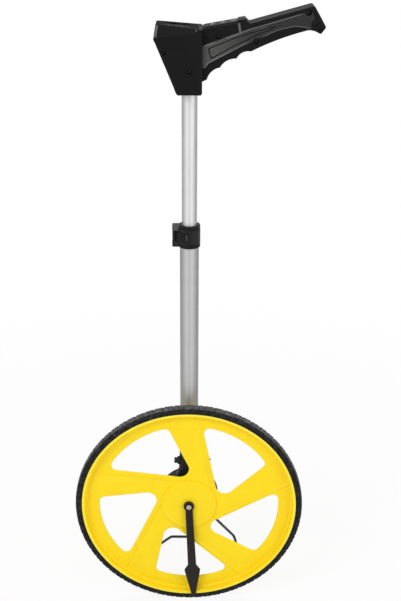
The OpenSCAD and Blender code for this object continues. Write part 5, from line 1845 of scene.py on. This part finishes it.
    def window_ring(self, margin: float, drop: float) -> Array:
        """A ring round the display window, with a margin, at a drop below the bezel's top."""
        length, width = self.window_l + 2 * margin, self.window_w + 2 * margin
        middle, a, b = self.display_len / 2, length / 2, width / 2
        corners = np.array([[-a, 1.0 - b], [1.0 - a, -b], [a, -b], [a, b], [1.0 - a, b], [-a, b - 1.0]])
        flat = fillet(corners, [0.3, 0.3, 1.2, 1.2, 0.3, 0.3]) + [middle, 0.0]
        local = Surface(np.column_stack([flat, np.full(len(flat), -drop)]), [])
        return self.display.put(local).verts - np.array(self.place.origin)

    def build_bezel(self) -> None:
        """The bezel: sloping sides, a rounded top edge and a stepped pocket for the window."""
        levels = (0.01, 0.06, 0.15, 0.3, 0.5, 0.7, 0.85)
        side = [self.bezel_ring(0.0, level) for level in levels]
        crown_r, crown_at = 1.0, 0.95
        t = np.linspace(0, np.pi / 2, 6)
        insets, heights = crown_r * (1 - np.cos(t)), crown_at + (1 - crown_at) * np.sin(t)
        crown = [self.bezel_ring(*at) for at in zip(insets, heights)]
        foot, floor = self.window_sink + self.window_t, self.bezel_top
        steps = ((0.7, 0.0), (0.1, 0.5), (0.1, foot), (-2.5, foot), (-2.5, floor), (1.0, floor + 0.2))
        inside = [self.window_ring(margin, drop) for margin, drop in steps]
        shell = grid(refine(np.stack(side + crown + inside), 3.0), wrap_rows=True, wrap_columns=True)
        made = self.place.put(shell)
        make_piece("display_bezel_shell", made, "handle", Paint.BEZEL, ["display_bezel"], sharp=40.0)
        pane = rounded_box(self.window_l, self.window_w, 1.6, (self.display_len / 2, 0.0))
        made = self.display.put(plate(pane, 0.08 - foot, -self.window_sink, CRISP, (0.4, 0.3)))
        make_piece("display_window_pane", made, "handle", Paint.GLASS, ["display_window"])
        # Pale strips on the bezel's front and rear corners: painted highlights.
        highlight_strips = total([self.highlight_strip(6, (0.12, 0.88), (0.05, 0.93)),
                        self.highlight_strip(13, (0.94, 0.975), (0.5, 0.93))])
        made = self.place.put(total([highlight_strips, highlight_strips.mirrored(0.0)]))
        make_piece("bezel_corner_strips", made, "handle", Paint.RIB, slot="bezel_grey")
        self.build_digits()
        dress(Paint.LCD, "lcd_panel")

    def build_digits(self) -> None:
        """Four seven-segment noughts and a point on the display.

        They stand across the head, to be read from the grip.
        """
        count, tall, wide, thick, pitch, gap = 4, 10.0, 3.6, 0.9, 5.4, 0.4
        ends = [(0, tall / 2, wide, thick), (0, -tall / 2, wide, thick)]
        posts = [(x * wide / 2, y * tall / 4, thick, tall / 2) for x in (-1, 1) for y in (-1, 1)]
        level, proud = HAIR - self.bezel_top - 0.3, 0.06
        bars = [rounded_box(long - gap, high - gap * (high > 1), 0.3,
                            (x + (digit - (count - 1) / 2) * pitch, y), steps=2)
                for digit in range(count) for x, y, long, high in ends + posts]
        shapes = bars + [circle(0.6, (0.0, -tall / 2), 16)]
        loops = [np.column_stack([self.display_len / 2 - shape[:, 1], shape[:, 0]]) for shape in shapes]
        marks = [plate(loop, level, level + proud, HAIR, HAIR) for loop in loops]
        make_piece("display_digits", self.display.put(total(marks)), "handle", Paint.INK, slot="lcd_green")

    @staticmethod
    def key_mark(mark: Mark) -> Surface:
        """The raised sign on a key, to be read from the grip: rings by their turn, bars by their place."""
        proud, edge, r, line, apart = 0.22, 0.05, 2.0, 0.6, 0.9
        profile = rounded_box(line, proud, 0.05, (r - line / 2, proud / 2), steps=2)
        turns = {Mark.POWER: [(40.0, 320.0)], Mark.UNIT: [], Mark.RESET: [(0.0, 360.0)]}
        bars = {Mark.POWER: [(0.4 * r, r, line)], Mark.RESET: [],
                Mark.UNIT: [(-apart, line, 2 * r), (apart, line, 2 * r)]}
        rings = [revolve(profile, 40, turn) for turn in turns[mark]]
        boxes = [rounded_box(long, wide, 0.25, (x, 0.0), steps=3) for x, long, wide in bars[mark]]
        return total(rings + [plate(box, 0.0, proud, edge, edge) for box in boxes])

    def build_keys(self) -> None:
        """Three soft keys with a flange at the foot and a raised mark on top, and the deck round them."""
        holes, top, foot, over = [], self.key_proud, self.key_foot, 2 * self.flange_over
        for number, mark in enumerate(Mark):
            node, paint = mark.value
            middle = (self.key_first + number * self.key_pitch, 0.0)
            cap_box = rounded_box(self.key_l, self.key_w, 2.2, middle)
            body = plate(cap_box, foot + 0.1, top - 0.15, CRISP, self.key_edge)
            flange_box = rounded_box(self.key_l + over, self.key_w + over, 1.5, middle)
            flange = plate(flange_box, foot, foot + self.flange_t, SLIGHT, SLIGHT)
            made = self.neck.put(total([body, flange]))
            make_piece(node + "_cap", made, node, paint, [node])
            raised = self.neck.put(self.key_mark(mark).shifted(middle[0], z=top - 0.3))
            make_piece(node + "_mark", raised, node, Paint.MARK, slot=paint.value.name)
            gap = 2 * self.key_gap
            holes.append(rounded_box(self.key_l + gap, self.key_w + gap, 2.3, middle))
        start, end = self.deck_at
        outside = rounded_box(end - start, self.grip_w - self.deck_inset, 2.5, ((start + end) / 2, 0.0))
        deck = plate(outside, -0.3, self.deck_h, 0.05, (0.7, 0.6), holes, 0.3)
        make_piece("key_frame", self.neck.put(deck), "handle", Paint.TRIM, slot="bezel_grey")

    def build_neck_end(self) -> None:
        """The pale ribs on the neck's sides and the block behind the keys."""
        x, top = self.rib_at
        outline = rounded_box(self.rib_w, self.rib_h, 1.2, (x, top - self.rib_h / 2))
        side = -self.grip_w / 2
        rib = self.neck.put(plate(outline, side - self.rib_proud, side + 3, (1.0, 0.65), CRISP).upright())
        make_piece("neck_ribs", total([rib, rib.mirrored(self.y)]), "handle", Paint.RIB, slot="bezel_grey")
        outline = rounded_box(self.block_l, self.grip_w - self.block_inset, 1.4, (self.block_at, 0.0))
        block = self.neck.put(plate(outline, -1.0, self.block_h, CRISP, (1.0, 0.8)))
        make_piece("neck_end_block", block, "handle", Paint.HANDLE)

    def build(self) -> None:
        """Builds the handle and dresses its inner CAD nodes."""
        self.build_shells()
        self.build_inserts()
        self.build_bezel()
        self.build_keys()
        self.build_neck_end()
        low, high = span("ferrule")
        inner = span("upper_tube")[1][0]
        collar = ring(inner, high[0], low[2], high[2], 0.7).shifted(y=self.y)
        make_piece("pole_ferrule", collar, "handle", Paint.LINER, ["ferrule"])
        dress(Paint.BOARD, "main_board", "key_board")
        dress(Paint.STEEL, "key_domes", "battery_contacts")
        dress(Paint.HOUSING, "battery_tray")
        dress(Paint.CELL, "battery_cells")


@dataclass
class Studio:
    """White floor, soft lights and the camera at the photograph's viewing angle."""

    camera_at: Point = (0.0147, -1.18, 0.9874)
    camera_down: float = 23.51
    camera_roll: float = 0.33
    lens: float = 59.99
    sensor: float = 36.0
    ambient: float = 0.55
    floor_reach: float = 30.0
    floor_glow: float = 0.85
    floor_near: Edge = (0.35, 1.3)

    def build_world(self) -> None:
        """A world that is white where the camera, gloss and glass see it, and dimmer as light."""
        world = bpy.data.worlds.new("studio_world")
        bpy.context.scene.world = world
        world.use_nodes = True
        graph = Graph(world.node_tree)
        strength = graph.seen() * (1 - self.ambient) + self.ambient
        back = graph.add("Background", None, {"Color": (1.0, 1.0, 1.0), "Strength": strength})
        graph.add("OutputWorld", None, {"Surface": back})

    def build_floor(self) -> None:
        """A wide pale floor that shows white to the camera and keeps a soft shadow."""
        far = self.floor_reach
        mesh = bpy.data.meshes.new("floor")
        corners = [(-far, -far, 0), (far, -far, 0), (far, far, 0), (-far, far, 0)]
        mesh.from_pydata(corners, [], [(0, 1, 2, 3)])
        floor = bpy.data.objects.new("floor", mesh)
        bpy.context.scene.collection.objects.link(floor)
        material = bpy.data.materials.new("floor_white")
        material.use_nodes = True
        graph = Graph(material.node_tree)
        tone = graph.blend(graph.noise(6.0) * 0.3, (0.95, 0.95, 0.95), (0.93, 0.93, 0.93))
        matte = graph.shade(Base_Color=tone, Roughness=0.9, Specular_IOR_Level=0.0)
        glow = graph.add("Emission", None, {"Color": (1.0, 1.0, 1.0), "Strength": 1.0})
        away = graph.add("VectorMath", {"operation": "LENGTH"}, {0: graph.coords()}, "Value")
        share = away.smooth(*self.floor_near) * (1 - self.floor_glow) + self.floor_glow
        mixed = graph.add("MixShader", None, {0: graph.seen() * share, 1: matte, 2: glow})
        graph.add("OutputMaterial", None, {"Surface": mixed})
        mesh.materials.append(material)
        floor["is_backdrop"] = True

    def build_light(self, name: str, at: Point, aim: Point, size: float, watts: float) -> None:
        """A soft square lamp that points at a place."""
        lamp = bpy.data.lights.new(name, "AREA")
        lamp.shape = "SQUARE"
        lamp.size = size
        lamp.energy = watts
        holder = bpy.data.objects.new(name, lamp)
        way = np.array(aim) - np.array(at)
        flat = math.hypot(way[0], way[1])
        holder.location = at
        holder.rotation_euler = (math.pi / 2 + math.atan2(way[2], flat), 0.0, math.atan2(-way[0], way[1]))
        bpy.context.scene.collection.objects.link(holder)

    def build_camera(self) -> None:
        """The camera, tilted down and rolled a little about its own view."""
        data = bpy.data.cameras.new("photo_camera")
        data.lens = self.lens
        data.sensor_width = self.sensor
        data.clip_start, data.clip_end = 0.01, 100.0
        camera = bpy.data.objects.new("photo_camera", data)
        camera.location = self.camera_at
        tilt = Matrix.Rotation(math.radians(90 - self.camera_down), 3, "X")
        roll = Matrix.Rotation(math.radians(self.camera_roll), 3, "Z")
        camera.rotation_euler = (tilt @ roll).to_euler()
        bpy.context.scene.collection.objects.link(camera)
        bpy.context.scene.camera = camera

    def build(self) -> None:
        """Builds the studio."""
        bpy.context.scene.view_settings.view_transform = "Standard"
        self.build_world()
        self.build_floor()
        self.build_light("key_light", (-1.3, -1.6, 2.1), (0.0, 0.0, 0.45), 1.2, 26.0)
        self.build_light("fill_light", (1.7, -1.3, 1.2), (0.0, 0.0, 0.4), 1.4, 12.0)
        self.build_light("top_light", (0.2, 0.9, 2.4), (0.0, 0.0, 0.4), 1.2, 9.0)
        self.build_camera()


def write_size(cad: Sequence[Any]) -> None:
    """Writes the CAD box and the dressed box as plain lists."""
    boxes = {"cad": [list(corner) for corner in cad], "visual": [list(corner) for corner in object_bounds()]}
    log.info("boxes: %s", boxes)


def main() -> None:
    """Builds the studio and every sub-assembly."""
    logging.basicConfig(level=logging.INFO, format="%(message)s")
    cad = [corner.copy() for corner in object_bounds()]
    for part in (Studio(), Wheel(), Pointer(), Hub(), Stand(), Pole(), Handle()):
        log.info("building the %s", type(part).__name__.lower())
        part.build()
    write_size(cad)


if __name__ == "__main__":
    main()
